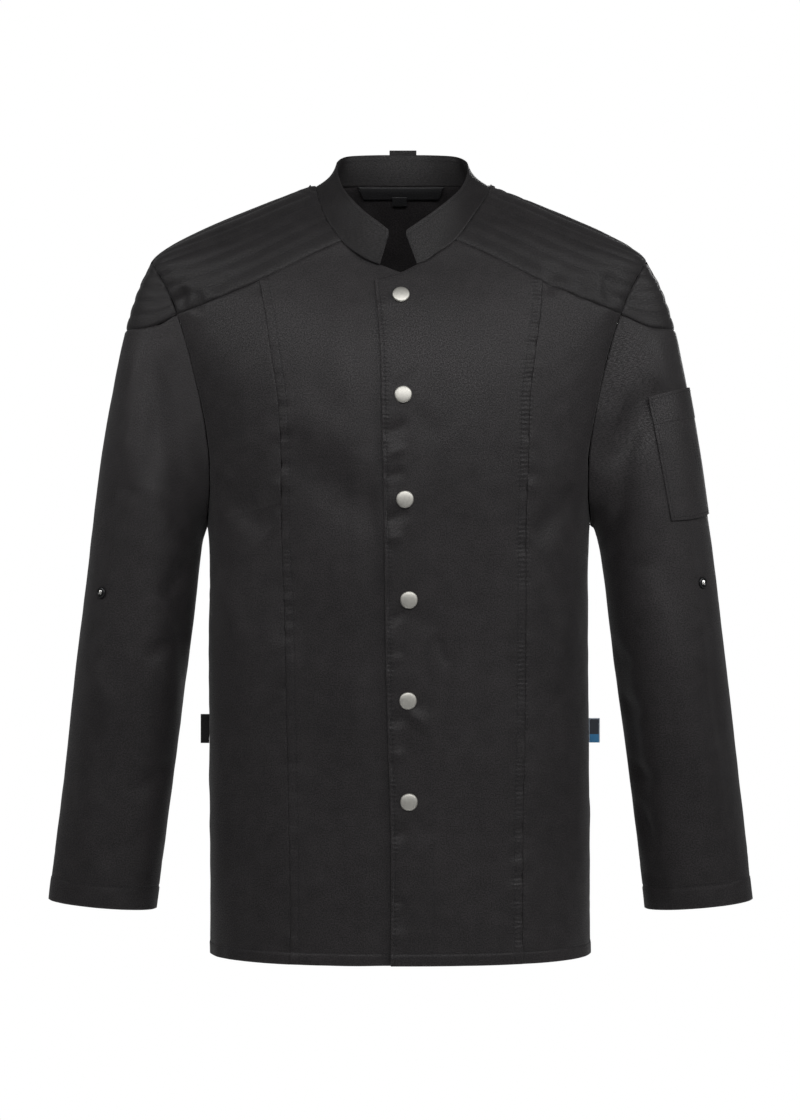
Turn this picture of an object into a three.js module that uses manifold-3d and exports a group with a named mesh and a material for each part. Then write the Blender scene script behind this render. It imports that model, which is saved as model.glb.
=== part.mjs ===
// A long-sleeved chef jacket with a stand collar, a snap front, quilted shoulder yokes and a pen pocket.
// It is hollow and filled out, as on a general figure. Millimetres, +Z up, the front faces -Y and +X is the
// wearer's left. The origin is at the base of the neck, in the middle between the shoulders.

import * as THREE from "three";
import { mergeVertices } from "three/addons/utils/BufferGeometryUtils.js";
import Module from "manifold-3d";

const wasm = await Module();
wasm.setup();

// Cloth and seams
const WALL = 2;
const SEAM_CUT = 0.22;
const SEAT_GAP = 0.3;
const SECTION_POWER = 2.4;
const HEM_Z = -760;
const FAR = 600;
// The size of the patch of cloth that gives a snap or a label its direction
const PATCH = 20;

// The body's level sections, from the neck to the hem: half of the width, the depth to the front and to the
// back, and how far the middle of the section lies to the side
const TORSO = [
  { z: 14, halfWidth: 86, front: 8, back: 50, centre: 0 },
  { z: 5, halfWidth: 88, front: 11, back: 52, centre: 0 },
  { z: 0, halfWidth: 100, front: 18, back: 55, centre: 0 },
  { z: -20, halfWidth: 150.5, front: 36, back: 66, centre: 0 },
  { z: -40, halfWidth: 197, front: 51, back: 76, centre: 0 },
  { z: -60, halfWidth: 234, front: 62, back: 85, centre: -1 },
  { z: -75, halfWidth: 248.5, front: 69, back: 90, centre: -2 },
  { z: -100, halfWidth: 246.5, front: 82, back: 97, centre: -2 },
  { z: -126, halfWidth: 238, front: 94, back: 102, centre: -2 },
  { z: -165, halfWidth: 226.5, front: 107, back: 108, centre: -2 },
  { z: -207, halfWidth: 216, front: 115, back: 112, centre: -2 },
  { z: -274, halfWidth: 203, front: 120, back: 113, centre: -2 },
  { z: -335, halfWidth: 190.5, front: 121, back: 110, centre: -2 },
  { z: -450, halfWidth: 189.5, front: 119, back: 104, centre: -2.5 },
  { z: -600, halfWidth: 189.5, front: 116, back: 102, centre: -1.5 },
  { z: -760, halfWidth: 189.5, front: 119, back: 107, centre: -0.5 },
];

// The ridge of the shoulder runs between these heights
const SHOULDER_START_Z = 4;
const SHOULDER_END_Z = -75;

// The armhole seam, as distance from the middle of the body
const ARMHOLE = [
  { z: -20, x: 277 },
  { z: -45, x: 263 },
  { z: -72, x: 247.5 },
  { z: -100, x: 231 },
  { z: -128, x: 219 },
  { z: -163, x: 207.5 },
  { z: -210, x: 195.5 },
  { z: -243, x: 189.5 },
  { z: -273, x: 186.2 },
  { z: -305, x: 186.4 },
  { z: -335, x: 190.7 },
  { z: -352, x: 191.3 },
];
const ARMHOLE_ROUNDING = 4;
const ARMHOLE_TOP = -72;
const ARMHOLE_BOTTOM = -335;
const ARMHOLE_STEP = { across: 12, up: 7.2, lead: 0.6 };

// The sleeve's rings, from the armhole to the cuff: the outer end, on the outside of the arm, the inner end,
// next to the body, half of the depth, and how far the ring hangs forward
const SLEEVE = [
  { outerX: 247.5, outerZ: -72, innerX: 190.7, innerZ: -335, halfDepth: 61, forward: 0 },
  { outerX: 261, outerZ: -100, innerX: 191.6, innerZ: -337.5, halfDepth: 62, forward: 0 },
  { outerX: 273.5, outerZ: -140, innerX: 192.6, innerZ: -340.5, halfDepth: 63, forward: 0 },
  { outerX: 284, outerZ: -190, innerX: 193.8, innerZ: -344.5, halfDepth: 64, forward: 1 },
  { outerX: 296, outerZ: -260, innerX: 195.6, innerZ: -351, halfDepth: 65, forward: 2 },
  { outerX: 306.5, outerZ: -335, innerX: 198.8, innerZ: -368, halfDepth: 65, forward: 4 },
  { outerX: 314, outerZ: -392, innerX: 204.5, innerZ: -412, halfDepth: 63, forward: 6 },
  { outerX: 322, outerZ: -460, innerX: 212, innerZ: -475, halfDepth: 60, forward: 8 },
  { outerX: 333, outerZ: -560, innerX: 225, innerZ: -571, halfDepth: 53, forward: 11 },
  { outerX: 343, outerZ: -640, innerX: 236, innerZ: -650, halfDepth: 48, forward: 14 },
  { outerX: 351.2, outerZ: -706, innerX: 245, innerZ: -715.5, halfDepth: 44, forward: 16 },
];
// How far each ring lies towards the wearer's left, on the sleeve at -X and on the one at +X
const SLEEVE_SHIFT = [
  { left: 0, right: 0 },
  { left: 0, right: 2 },
  { left: 0, right: 2.5 },
  { left: 0, right: 2.5 },
  { left: 0, right: 2.5 },
  { left: 1, right: 2.5 },
  { left: 2, right: 2.5 },
  { left: 2, right: 2.5 },
  { left: 2.5, right: 2.5 },
  { left: 3, right: 1.5 },
  { left: 3.5, right: 0 },
];
const SLEEVE_CENTRE = -2;
const ARMHOLE_FADE = 4.5;
const CUFF_RING = SLEEVE.length - 1;

// The neck seam and the collar's top edge, from the front end to the middle of the back. Skew is how far both
// sides lie towards the wearer's left, and bow is how far the cloth curves in halfway up.
const COLLAR = [
  { x: 18.4, skew: -2.4, z: -81, face: "front", topX: 7.2, topSkew: -3.7, topY: -60, topZ: -47.6, bow: 0 },
  { x: 27, skew: -2.4, z: -78, face: "front", topX: 16.2, topSkew: -2.7, topY: -59.5, topZ: -41, bow: 0 },
  { x: 38.5, skew: -4, z: -70.5, face: "front", topX: 34.5, topSkew: -2, topY: -53, topZ: -27, bow: 0 },
  { x: 55, skew: -2.8, z: -57, face: "front", topX: 49.2, topSkew: -0.2, topY: -40, topZ: -13, bow: 1 },
  { x: 72, skew: -2, z: -32, face: "front", topX: 59.5, topSkew: 1, topY: -25, topZ: 0, bow: 2 },
  { x: 84.5, skew: 1.5, z: -6, face: "front", topX: 65.2, topSkew: 1.6, topY: -8, topZ: 15, bow: 3 },
  { x: 86, skew: 1.5, z: 3.6, face: "ridge", topX: 66.2, topSkew: 1.3, topY: 4, topZ: 23, bow: 4 },
  { x: 82, skew: 1.5, z: 5, face: "back", topX: 64.5, topSkew: 1, topY: 18, topZ: 31, bow: 3 },
  { x: 67, skew: 1, z: 7.5, face: "back", topX: 55.5, topSkew: 0, topY: 35, topZ: 37.5, bow: 2 },
  { x: 35, skew: 0, z: 9, face: "back", topX: 30, topSkew: 0, topY: 47, topZ: 40.5, bow: 1 },
  { x: 0, skew: 0, z: 9, face: "back", topX: 0, topSkew: 0, topY: 50.5, topZ: 41, bow: 1 },
];
const COLLAR_LIFT = 0.8;
const NECK_SIDE = COLLAR.find((row) => row.face === "ridge");
const NECK_RELIEF = { out: 9, up: 3, farOut: 45 };
const NECK_DIP = { x: 0, z: -89.2 };
const NECK_TIP = { x: 24.9, z: -95.5 };
const NECK_RUNOUT = { x: 60, z: -104 };
const NECK_MIDDLE = { x: 0, z: -20 };
const ABOVE_NECK = 80;

// The yoke seams of the front and the back, and the seam of the quilted cap on the sleeve head
const FRONT_YOKE_SEAM = [
  { x: 30, z: -44 },
  { x: 56.5, z: -56.5 },
  { x: 90, z: -72.5 },
  { x: 136, z: -96 },
  { x: 183, z: -115.5 },
  { x: 219, z: -128 },
  { x: 245, z: -137 },
];
const BACK_YOKE_SEAM = [
  { x: 50, z: 34 },
  { x: 67, z: 7.5 },
  { x: 90, z: -28 },
  { x: 136, z: -72 },
  { x: 183, z: -104 },
  { x: 219, z: -128 },
  { x: 245, z: -144 },
];
const CAP_SEAM = [
  { x: 190, z: -118 },
  { x: 219, z: -128 },
  { x: 236, z: -136 },
  { x: 250, z: -140.5 },
  { x: 271, z: -141 },
  { x: 320, z: -141 },
];
const QUILT_PITCH = 15;
const QUILT_HEIGHT = 1;
const YOKE_CENTRE = -1;
// Where the yoke's wall starts at the neck and ends at the arm, a little past its seams
const YOKE_NECK = { ridge: { x: 86, z: 10 }, front: { x: 42 }, back: { x: 60 } };
const YOKE_ARM = { ridge: { x: 248.4 }, front: { x: 226 }, back: { x: 226 } };
const YOKE_MARGIN = 3;
const YOKE_ROWS = 10;
const CAP_REACH = { angle: 66, ring: 2.4 };

// The top of each front panel's wall before it is cut, and how far the walls run past a shaped seam
const SIDE_FRONT_TOP = -84;
const CENTRE_FRONT_TOP = -48;
const BACK_TOP = 12;
const SEAM_MARGIN = 3;
const PAST_SIDE = 400;

// The shaped seams of the front, and the edge of the front that laps over
const PRINCESS = [
  { z: -60, left: -146, right: 142 },
  { z: -98, left: -138, right: 138.5 },
  { z: -132, left: -131.5, right: 135.5 },
  { z: -176, left: -125, right: 129.5 },
  { z: -215, left: -119, right: 125 },
  { z: -250, left: -116.8, right: 124 },
  { z: -330, left: -116, right: 121.5 },
  { z: -430, left: -112.4, right: 121 },
  { z: -520, left: -110.8, right: 120.5 },
  { z: -650, left: -107.9, right: 118 },
  { z: -790, left: -107, right: 117.6 },
];
const PLACKET_EDGE = [
  { z: -60, x: -27 },
  { z: -95.5, x: -24.9 },
  { z: -162, x: -19.5 },
  { z: -247, x: -17.3 },
  { z: -330, x: -15.4 },
  { z: -450, x: -14 },
  { z: -540, x: -11.8 },
  { z: -650, x: -8.9 },
  { z: -790, x: -9.4 },
];
const LAP = 42;
const LAP_DROP = 3.4;
const LAP_EASE = 26;
const LAP_LEAD = 8;

// Snap caps down the front
const SNAPS = [
  { x: 0, z: -112.6 },
  { x: 2.1, z: -210.8 },
  { x: 3.8, z: -311.8 },
  { x: 7.6, z: -408.4 },
  { x: 6.7, z: -505.4 },
  { x: 7.6, z: -602.8 },
];
const SNAP_CAP = { radius: 8.4, rim: 0.9, height: 2.6 };
const STUD = { radius: 5.6, shoulder: 1.3, top: 4.2, height: 2.2, well: 2.6, depth: 0.9 };
// Each seat is the stud's height over the true curve of the sleeve, whose flat facets lie a little under it
const STUD_PLACES = [
  { side: -1, ring: 6.1, angle: 52, seat: 0.3 },
  { side: 1, ring: 5.95, angle: 48, seat: 0 },
];

// The pen pocket on the wearer's left sleeve, by the lines of its edges seen from the front
const POCKET = {
  edge: [
    { x: 238, z: -180 },
    { x: 243, z: -210.4 },
    { x: 264, z: -330 },
    { x: 270, z: -364 },
  ],
  top: [
    { x: 200, z: -222.3 },
    { x: 243, z: -210.4 },
    { x: 330, z: -186.3 },
  ],
  band: [
    { x: 200, z: -248.5 },
    { x: 249, z: -237.6 },
    { x: 330, z: -219.7 },
  ],
  bottom: [
    { x: 200, z: -331 },
    { x: 284, z: -330 },
    { x: 330, z: -314 },
  ],
  thickness: 1.2,
  bandThickness: 1.9,
  topRing: 2,
  bottomRing: 5.6,
  frontAngle: 96,
  backAngle: -26,
  clearance: 0.8,
};

// Labels and the hanging loop
const NECK_LABEL = { topWidth: 89, bottomWidth: 77, top: 9, bottom: -2, thickness: 0.8 };
const SIZE_TAG = { x: -1.5, width: 15, top: 1.2, bottom: -8, thickness: 0.6 };
const SIDE_TAGS = [
  { name: "side_tag_left", side: -1, top: -524, bottom: -553, reach: 8.6 },
  { name: "side_tag_right", side: 1, top: -528, bottom: -552.5, reach: 11 },
];
const SIDE_TAG_THICKNESS = 1;
const LOOP = { x: 2, width: 27.5, bottom: 12, top: 46.8, thickness: 3, back: 52.4, lean: 3 };

// The largest folds of the body: a soft ridge, or a trough where the height is negative, from one height to
// another
const BODY_FOLDS = [
  { face: "front", fromX: -128, toX: -142, fromZ: -330, toZ: -620, width: 26, height: 3 },
  { face: "front", fromX: -152, toX: -160, fromZ: -560, toZ: -790, width: 24, height: -4 },
  { face: "front", fromX: 158, toX: 140, fromZ: -520, toZ: -790, width: 22, height: -4 },
  { face: "front", fromX: 122, toX: 150, fromZ: -640, toZ: -800, width: 20, height: 3 },
  { face: "front", fromX: -150, toX: -100, fromZ: -260, toZ: -470, width: 26, height: -3 },
  { face: "front", fromX: 160, toX: 135, fromZ: -250, toZ: -480, width: 26, height: 3 },
  { face: "back", fromX: -120, toX: -95, fromZ: -300, toZ: -640, width: 30, height: -5 },
  { face: "back", fromX: 110, toX: 120, fromZ: -340, toZ: -700, width: 28, height: -5 },
  { face: "back", fromX: 10, toX: -10, fromZ: -420, toZ: -800, width: 34, height: -5 },
  { face: "back", fromX: -60, toX: -52, fromZ: -480, toZ: -800, width: 24, height: 4 },
  { face: "back", fromX: 66, toX: 58, fromZ: -520, toZ: -800, width: 24, height: 4 },
];

// The largest folds of the sleeves, by their angle round the arm, 0 on the outside and 90 in front
const SLEEVE_FOLDS = [
  { side: -1, fromAngle: 60, toAngle: 150, fromRing: 1.5, toRing: 5.2, width: 18, height: -4 },
  { side: -1, fromAngle: 120, toAngle: 175, fromRing: 5.2, toRing: 7.6, width: 20, height: -4 },
  { side: -1, fromAngle: 50, toAngle: 75, fromRing: 6.6, toRing: 10, width: 18, height: 3 },
  { side: -1, fromAngle: 250, toAngle: 215, fromRing: 3, toRing: 7, width: 22, height: -5 },
  { side: -1, fromAngle: 290, toAngle: 250, fromRing: 6, toRing: 9.5, width: 22, height: -4 },
  { side: 1, fromAngle: 85, toAngle: 150, fromRing: 1.5, toRing: 5, width: 18, height: -4 },
  { side: 1, fromAngle: 105, toAngle: 60, fromRing: 5.4, toRing: 9.4, width: 18, height: 4 },
  { side: 1, fromAngle: 165, toAngle: 140, fromRing: 6.4, toRing: 9.2, width: 18, height: -4 },
  { side: 1, fromAngle: 245, toAngle: 215, fromRing: 3, toRing: 7, width: 22, height: -5 },
  { side: 1, fromAngle: 285, toAngle: 250, fromRing: 6, toRing: 9.5, width: 22, height: -4 },
];

const CLOTH = { color: 0x242426, roughness: 0.85, metalness: 0 };
const QUILTED_CLOTH = { color: 0x202022, roughness: 0.85, metalness: 0 };
const LABEL_CLOTH = { color: 0x101012, roughness: 0.6, metalness: 0 };
const TAG_CLOTH = { color: 0x1f5f8f, roughness: 0.6, metalness: 0 };
const SILVER = { color: 0xa9a79f, roughness: 0.35, metalness: 1 };
const BLACK_METAL = { color: 0x1a1a1b, roughness: 0.4, metalness: 0.8 };

const jacket = new THREE.Group();

// Small helpers

const lerp = THREE.MathUtils.lerp;
const radians = THREE.MathUtils.degToRad;

function clamp01(value) {
  return Math.min(1, Math.max(0, value));
}

function ease(value) {
  const t = clamp01(value);
  return t * t * (3 - 2 * t);
}

// The smooth curve through one column of a table, read at a place of its key column
function readTable(rows, key, at, column) {
  const rising = rows[rows.length - 1][key] > rows[0][key];
  let i = 0;
  while (i < rows.length - 2 && (rising ? at > rows[i + 1][key] : at < rows[i + 1][key])) i += 1;
  return hermite(rows, i, (row) => row[key], at, column);
}

function readRing(rows, at, column) {
  const i = Math.min(rows.length - 2, Math.max(0, Math.floor(at)));
  return hermite(rows, i, (row, index) => index, at, column);
}

function hermite(rows, i, place, at, column) {
  const p0 = place(rows[i], i);
  const p1 = place(rows[i + 1], i + 1);
  const v0 = rows[i][column];
  const v1 = rows[i + 1][column];
  const slope = (a, b) => (rows[b][column] - rows[a][column]) / (place(rows[b], b) - place(rows[a], a));
  const m0 = slope(Math.max(0, i - 1), i + 1);
  const m1 = slope(i, Math.min(rows.length - 1, i + 2));
  const h = p1 - p0;
  const t = (at - p0) / h;
  if (t <= 0) return v0 + m0 * (at - p0);
  if (t >= 1) return v1 + m1 * (at - p1);
  const t2 = t * t;
  const t3 = t2 * t;
  return (
    (2 * t3 - 3 * t2 + 1) * v0 + (t3 - 2 * t2 + t) * h * m0 + (3 * t2 - 2 * t3) * v1 + (t3 - t2) * h * m1
  );
}

// The height of one fold at a place along and across it: a soft bump that fades at both ends
function foldHeight(fold, along, across, from, to, acrossFrom, acrossTo) {
  const t = (along - from) / (to - from);
  if (t <= 0 || t >= 1) return 0;
  const offset = (across - lerp(acrossFrom, acrossTo, t)) / fold.width;
  return fold.height * Math.sin(Math.PI * t) * Math.exp(-offset * offset);
}

// The body's surface

function sectionDepth(x, z, face) {
  const halfWidth = readTable(TORSO, "z", z, "halfWidth");
  const share = Math.abs(x - readTable(TORSO, "z", z, "centre")) / halfWidth;
  if (share >= 1) return 0;
  const depth = readTable(TORSO, "z", z, face);
  return depth * Math.pow(1 - Math.pow(share, SECTION_POWER), 1 / SECTION_POWER);
}

function bodyFold(x, z, face) {
  return BODY_FOLDS.filter((fold) => fold.face === face).reduce(
    (sum, fold) => sum + foldHeight(fold, z, x, fold.fromZ, fold.toZ, fold.fromX, fold.toX),
    0,
  );
}

function bodyPoint(x, z, face) {
  const sign = face === "front" ? -1 : 1;
  const depth = sectionDepth(x, z, face);
  const nearSide = ease(depth / 40);
  return new THREE.Vector3(x, sign * (depth + nearSide * bodyFold(x, z, face)), z);
}

// A point by its angle across the section: -90 and 90 are the sides, 0 is the middle
function bodyPointByAngle(angle, z, face) {
  const sine = Math.sin(radians(angle));
  const halfWidth = readTable(TORSO, "z", z, "halfWidth");
  const centre = readTable(TORSO, "z", z, "centre");
  const x = centre + halfWidth * Math.sign(sine) * Math.pow(Math.abs(sine), 2 / SECTION_POWER);
  return bodyPoint(x, z, face);
}

function bodyAngleOf(x, z) {
  const halfWidth = readTable(TORSO, "z", z, "halfWidth");
  const share = (x - readTable(TORSO, "z", z, "centre")) / halfWidth;
  const sine = Math.sign(share) * Math.pow(Math.min(1, Math.abs(share)), SECTION_POWER / 2);
  return THREE.MathUtils.radToDeg(Math.asin(sine));
}

// The ridge of the shoulder over a distance from the middle
function ridgeHeight(x) {
  let low = SHOULDER_END_Z;
  let high = SHOULDER_START_Z;
  for (let i = 0; i < 30; i += 1) {
    const middle = (low + high) / 2;
    if (readTable(TORSO, "z", middle, "halfWidth") > x) low = middle;
    else high = middle;
  }
  return (low + high) / 2;
}

// The sleeve's surface

function armholePoint(angle) {
  const share = (1 - Math.cos(radians(angle))) / 2;
  const z = lerp(ARMHOLE_TOP, ARMHOLE_BOTTOM, share);
  const x = readTable(ARMHOLE, "z", z, "x");
  const inFront = Math.sin(radians(angle)) > 0;
  const face = inFront ? "front" : "back";
  const depth = sectionDepth(x + readTable(TORSO, "z", z, "centre"), z, face);
  const rounded = depth * Math.min(1, Math.abs(Math.sin(radians(angle))) * ARMHOLE_ROUNDING);
  return new THREE.Vector3(x, inFront ? -rounded : rounded, z);
}

function ringPoint(ring, angle) {
  const read = (column) => readRing(SLEEVE, ring, column);
  const along = Math.cos(radians(angle)) / 2;
  const x = (read("outerX") + read("innerX")) / 2 + along * (read("outerX") - read("innerX"));
  const z = (read("outerZ") + read("innerZ")) / 2 + along * (read("outerZ") - read("innerZ"));
  return new THREE.Vector3(x, -Math.sin(radians(angle)) * read("halfDepth") - read("forward"), z);
}

function sleeveFold(side, ring, angle) {
  const round = ((angle % 360) + 360) % 360;
  return SLEEVE_FOLDS.filter((fold) => fold.side === side).reduce(
    (sum, fold) =>
      sum + foldHeight(fold, ring, round, fold.fromRing, fold.toRing, fold.fromAngle, fold.toAngle),
    0,
  );
}

// Side is 1 for the wearer's left and -1 for the right. Ring 0 is the armhole, and a ring below 0 runs into
// the body.
function sleevePoint(side, ring, angle) {
  const point = ringPoint(Math.max(0, ring), angle);
  const keep = 1 - ease(ring / ARMHOLE_FADE);
  if (keep > 0) {
    const toArmhole = armholePoint(angle).sub(ringPoint(0, angle));
    point.addScaledVector(toArmhole, keep);
  }
  if (ring < 0) {
    point.x += ring * ARMHOLE_STEP.across;
    point.z -= ring * ARMHOLE_STEP.up * Math.max(0, Math.cos(radians(angle)));
  }
  const middle = new THREE.Vector3(
    (readRing(SLEEVE, ring, "outerX") + readRing(SLEEVE, ring, "innerX")) / 2,
    -readRing(SLEEVE, ring, "forward"),
    (readRing(SLEEVE, ring, "outerZ") + readRing(SLEEVE, ring, "innerZ")) / 2,
  );
  const outward = point.clone().sub(middle).normalize();
  point.addScaledVector(outward, sleeveFold(side, ring, angle));
  const shift = readRing(SLEEVE_SHIFT, Math.max(0, ring), side > 0 ? "right" : "left");
  return new THREE.Vector3(SLEEVE_CENTRE + side * point.x + shift, point.y, point.z);
}

// Walls of cloth

function normalAt(surface, u, v) {
  const step = 1e-3;
  const du = surface(u + step, v).sub(surface(u - step, v));
  const dv = surface(u, v + step).sub(surface(u, v - step));
  return du.cross(dv).normalize();
}

// A closed wall on a surface of u and v, both from 0 to 1. The outside can be raised, and from and to say how
// far the wall's two faces lie from the surface.
function wallOf(surface, { uSteps, vSteps, from = -WALL, to = 0, loop = false, raised = () => 0 }) {
  const columns = loop ? uSteps : uSteps + 1;
  const outer = [];
  const inner = [];
  for (let j = 0; j <= vSteps; j += 1) {
    for (let i = 0; i < columns; i += 1) {
      const u = i / uSteps;
      const v = j / vSteps;
      const point = surface(u, v);
      const normal = normalAt(surface, u, v);
      outer.push(point.clone().addScaledVector(normal, to + raised(u, v)));
      inner.push(point.clone().addScaledVector(normal, from));
    }
  }
  const at = (i, j) => j * columns + (i % columns);
  const shift = outer.length;
  const triangles = [];
  const quad = (a, b, c, d) => triangles.push(a, b, c, a, c, d);
  for (let j = 0; j < vSteps; j += 1) {
    for (let i = 0; i < uSteps; i += 1) {
      const a = at(i, j);
      const b = at(i + 1, j);
      const c = at(i + 1, j + 1);
      const d = at(i, j + 1);
      quad(a, b, c, d);
      quad(shift + d, shift + c, shift + b, shift + a);
    }
  }
  for (let i = 0; i < uSteps; i += 1) {
    quad(at(i, 0), shift + at(i, 0), shift + at(i + 1, 0), at(i + 1, 0));
    quad(at(i + 1, vSteps), shift + at(i + 1, vSteps), shift + at(i, vSteps), at(i, vSteps));
  }
  for (let j = 0; j < vSteps && !loop; j += 1) {
    quad(at(0, j + 1), shift + at(0, j + 1), shift + at(0, j), at(0, j));
    quad(at(uSteps, j), shift + at(uSteps, j), shift + at(uSteps, j + 1), at(uSteps, j + 1));
  }
  const geometry = new THREE.BufferGeometry().setFromPoints([...outer, ...inner]);
  geometry.setIndex(triangles);
  return solidOf(geometry);
}

function solidOf(geometry) {
  geometry.deleteAttribute("normal");
  geometry.deleteAttribute("uv");
  const merged = mergeVertices(geometry, 1e-4);
  return new wasm.Manifold(
    new wasm.Mesh({
      numProp: 3,
      vertProperties: merged.attributes.position.array,
      triVerts: new Uint32Array(merged.index.array),
    }),
  );
}

function geometryOf(solid) {
  const mesh = solid.getMesh();
  return new THREE.BufferGeometry()
    .setAttribute("position", new THREE.BufferAttribute(new Float32Array(mesh.vertProperties), 3))
    .setIndex(new THREE.BufferAttribute(new Uint32Array(mesh.triVerts), 1));
}

function addPiece(name, solid, material) {
  const geometry = geometryOf(solid);
  geometry.computeVertexNormals();
  const mesh = new THREE.Mesh(geometry, new THREE.MeshStandardMaterial(material));
  mesh.name = name;
  jacket.add(mesh);
}

// Cutters: a prism along Y over an outline of x and z, for the front half, the back half or both

function prism(outline, half = "both") {
  const shape = new THREE.Shape(outline.map((point) => new THREE.Vector2(point.x, point.z)));
  const depth = half === "both" ? 2 * FAR : FAR;
  const geometry = new THREE.ExtrudeGeometry(shape, { depth, bevelEnabled: false });
  geometry.rotateX(Math.PI / 2);
  geometry.translate(0, half === "front" ? 0 : FAR, 0);
  return solidOf(geometry);
}

// What lies beyond a seam line, on the side that toward points to, with the cut just inside the kept piece
function beyond(line, toward, half) {
  const near = line.map((point) => ({
    x: point.x - toward.x * SEAM_CUT,
    z: point.z - toward.z * SEAM_CUT,
  }));
  const far = line.map((point) => ({ x: point.x + toward.x * FAR, z: point.z + toward.z * FAR }));
  return prism([...near, ...far.reverse()], half);
}

const LEFTWARD = { x: -1, z: 0 };
const RIGHTWARD = { x: 1, z: 0 };
const UPWARD = { x: 0, z: 1 };
const DOWNWARD = { x: 0, z: -1 };

// A seam table drawn out as a fine line
function fineLine(rows, key, column, steps) {
  const first = rows[0][key];
  const last = rows[rows.length - 1][key];
  return Array.from({ length: steps + 1 }, (_, i) => {
    const at = lerp(first, last, i / steps);
    const value = readTable(rows, key, at, column);
    return key === "z" ? { x: value, z: at } : { x: at, z: value };
  });
}

function onSide(line, side, centre = SLEEVE_CENTRE) {
  return line.map((point) => ({ x: centre + side * point.x, z: point.z }));
}

function armholeLine(side) {
  return onSide(fineLine(ARMHOLE, "z", "x", 36), side);
}

function outsideArmhole(side) {
  return beyond(armholeLine(side), side > 0 ? RIGHTWARD : LEFTWARD);
}

function insideArmhole(side) {
  return beyond(armholeLine(side), side > 0 ? LEFTWARD : RIGHTWARD);
}

function yokeLine(face, side) {
  const rows = face === "front" ? FRONT_YOKE_SEAM : BACK_YOKE_SEAM;
  return onSide(fineLine(rows, "x", "z", 24), side, YOKE_CENTRE);
}

function princessLine(column) {
  return fineLine(PRINCESS, "z", column, 20);
}

// The neck seam as a line, from above the side of the neck down to the front and past its middle, or round
// the back
function neckLine(side, face) {
  const rows = COLLAR.filter((row) => row.face === face);
  const seam = rows.map((row) => ({ x: row.skew + side * row.x, z: row.z }));
  const corner = { x: NECK_SIDE.skew + side * NECK_SIDE.x, z: NECK_SIDE.z };
  const above = [
    { x: corner.x + side * NECK_RELIEF.farOut, z: ABOVE_NECK },
    { x: corner.x + side * NECK_RELIEF.out, z: corner.z + NECK_RELIEF.up },
    corner,
  ];
  if (face === "back") return [...above, ...seam];
  const centre = [
    NECK_DIP,
    { x: -side * NECK_TIP.x, z: NECK_TIP.z },
    { x: -side * NECK_RUNOUT.x, z: NECK_RUNOUT.z },
  ];
  return [...above, ...seam.reverse(), ...centre];
}

function growFromNeck(outline, amount) {
  return outline.map((point) => {
    const away = new THREE.Vector2(point.x - NECK_MIDDLE.x, point.z - NECK_MIDDLE.z).normalize();
    return { x: point.x + away.x * amount, z: point.z + away.y * amount };
  });
}

function neckHole(side, face) {
  const line = growFromNeck(neckLine(side, face), SEAM_CUT);
  const end = line[line.length - 1];
  return prism([...line, { x: end.x, z: ABOVE_NECK }], face);
}

// The body's region next to the neck, which the collar stays clear of
function besideNeck(side, face) {
  const line = growFromNeck(neckLine(side, face), -SEAM_CUT);
  const end = line[line.length - 1];
  return prism(
    [...line, { x: end.x, z: -FAR }, { x: side * FAR, z: -FAR }, { x: side * FAR, z: ABOVE_NECK }],
    face,
  );
}

function cut(solid, cutters) {
  return cutters.reduce((kept, cutter) => kept.subtract(cutter), solid);
}

function behindSideSeam(face) {
  const geometry = new THREE.BoxGeometry(2 * FAR, FAR, 2 * FAR);
  const sign = face === "front" ? 1 : -1;
  geometry.translate(0, sign * (FAR / 2 - SEAM_CUT), 0);
  return solidOf(geometry);
}

// The body panels

// How far the front that laps under lies behind the surface
function lapDrop(x, z) {
  const edge = readTable(PLACKET_EDGE, "z", z, "x");
  return LAP_DROP * ease((x - edge + LAP_EASE + LAP_LEAD) / LAP_EASE);
}

function frontSurface(fromX, toX, topZ, drop) {
  return (u, v) => {
    const z = lerp(HEM_Z, topZ, v);
    const from = bodyAngleOf(fromX(z), z);
    const to = bodyAngleOf(toX(z), z);
    const point = bodyPointByAngle(lerp(from, to, u), z, "front");
    point.y += drop(point.x, z);
    return point;
  };
}

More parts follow.
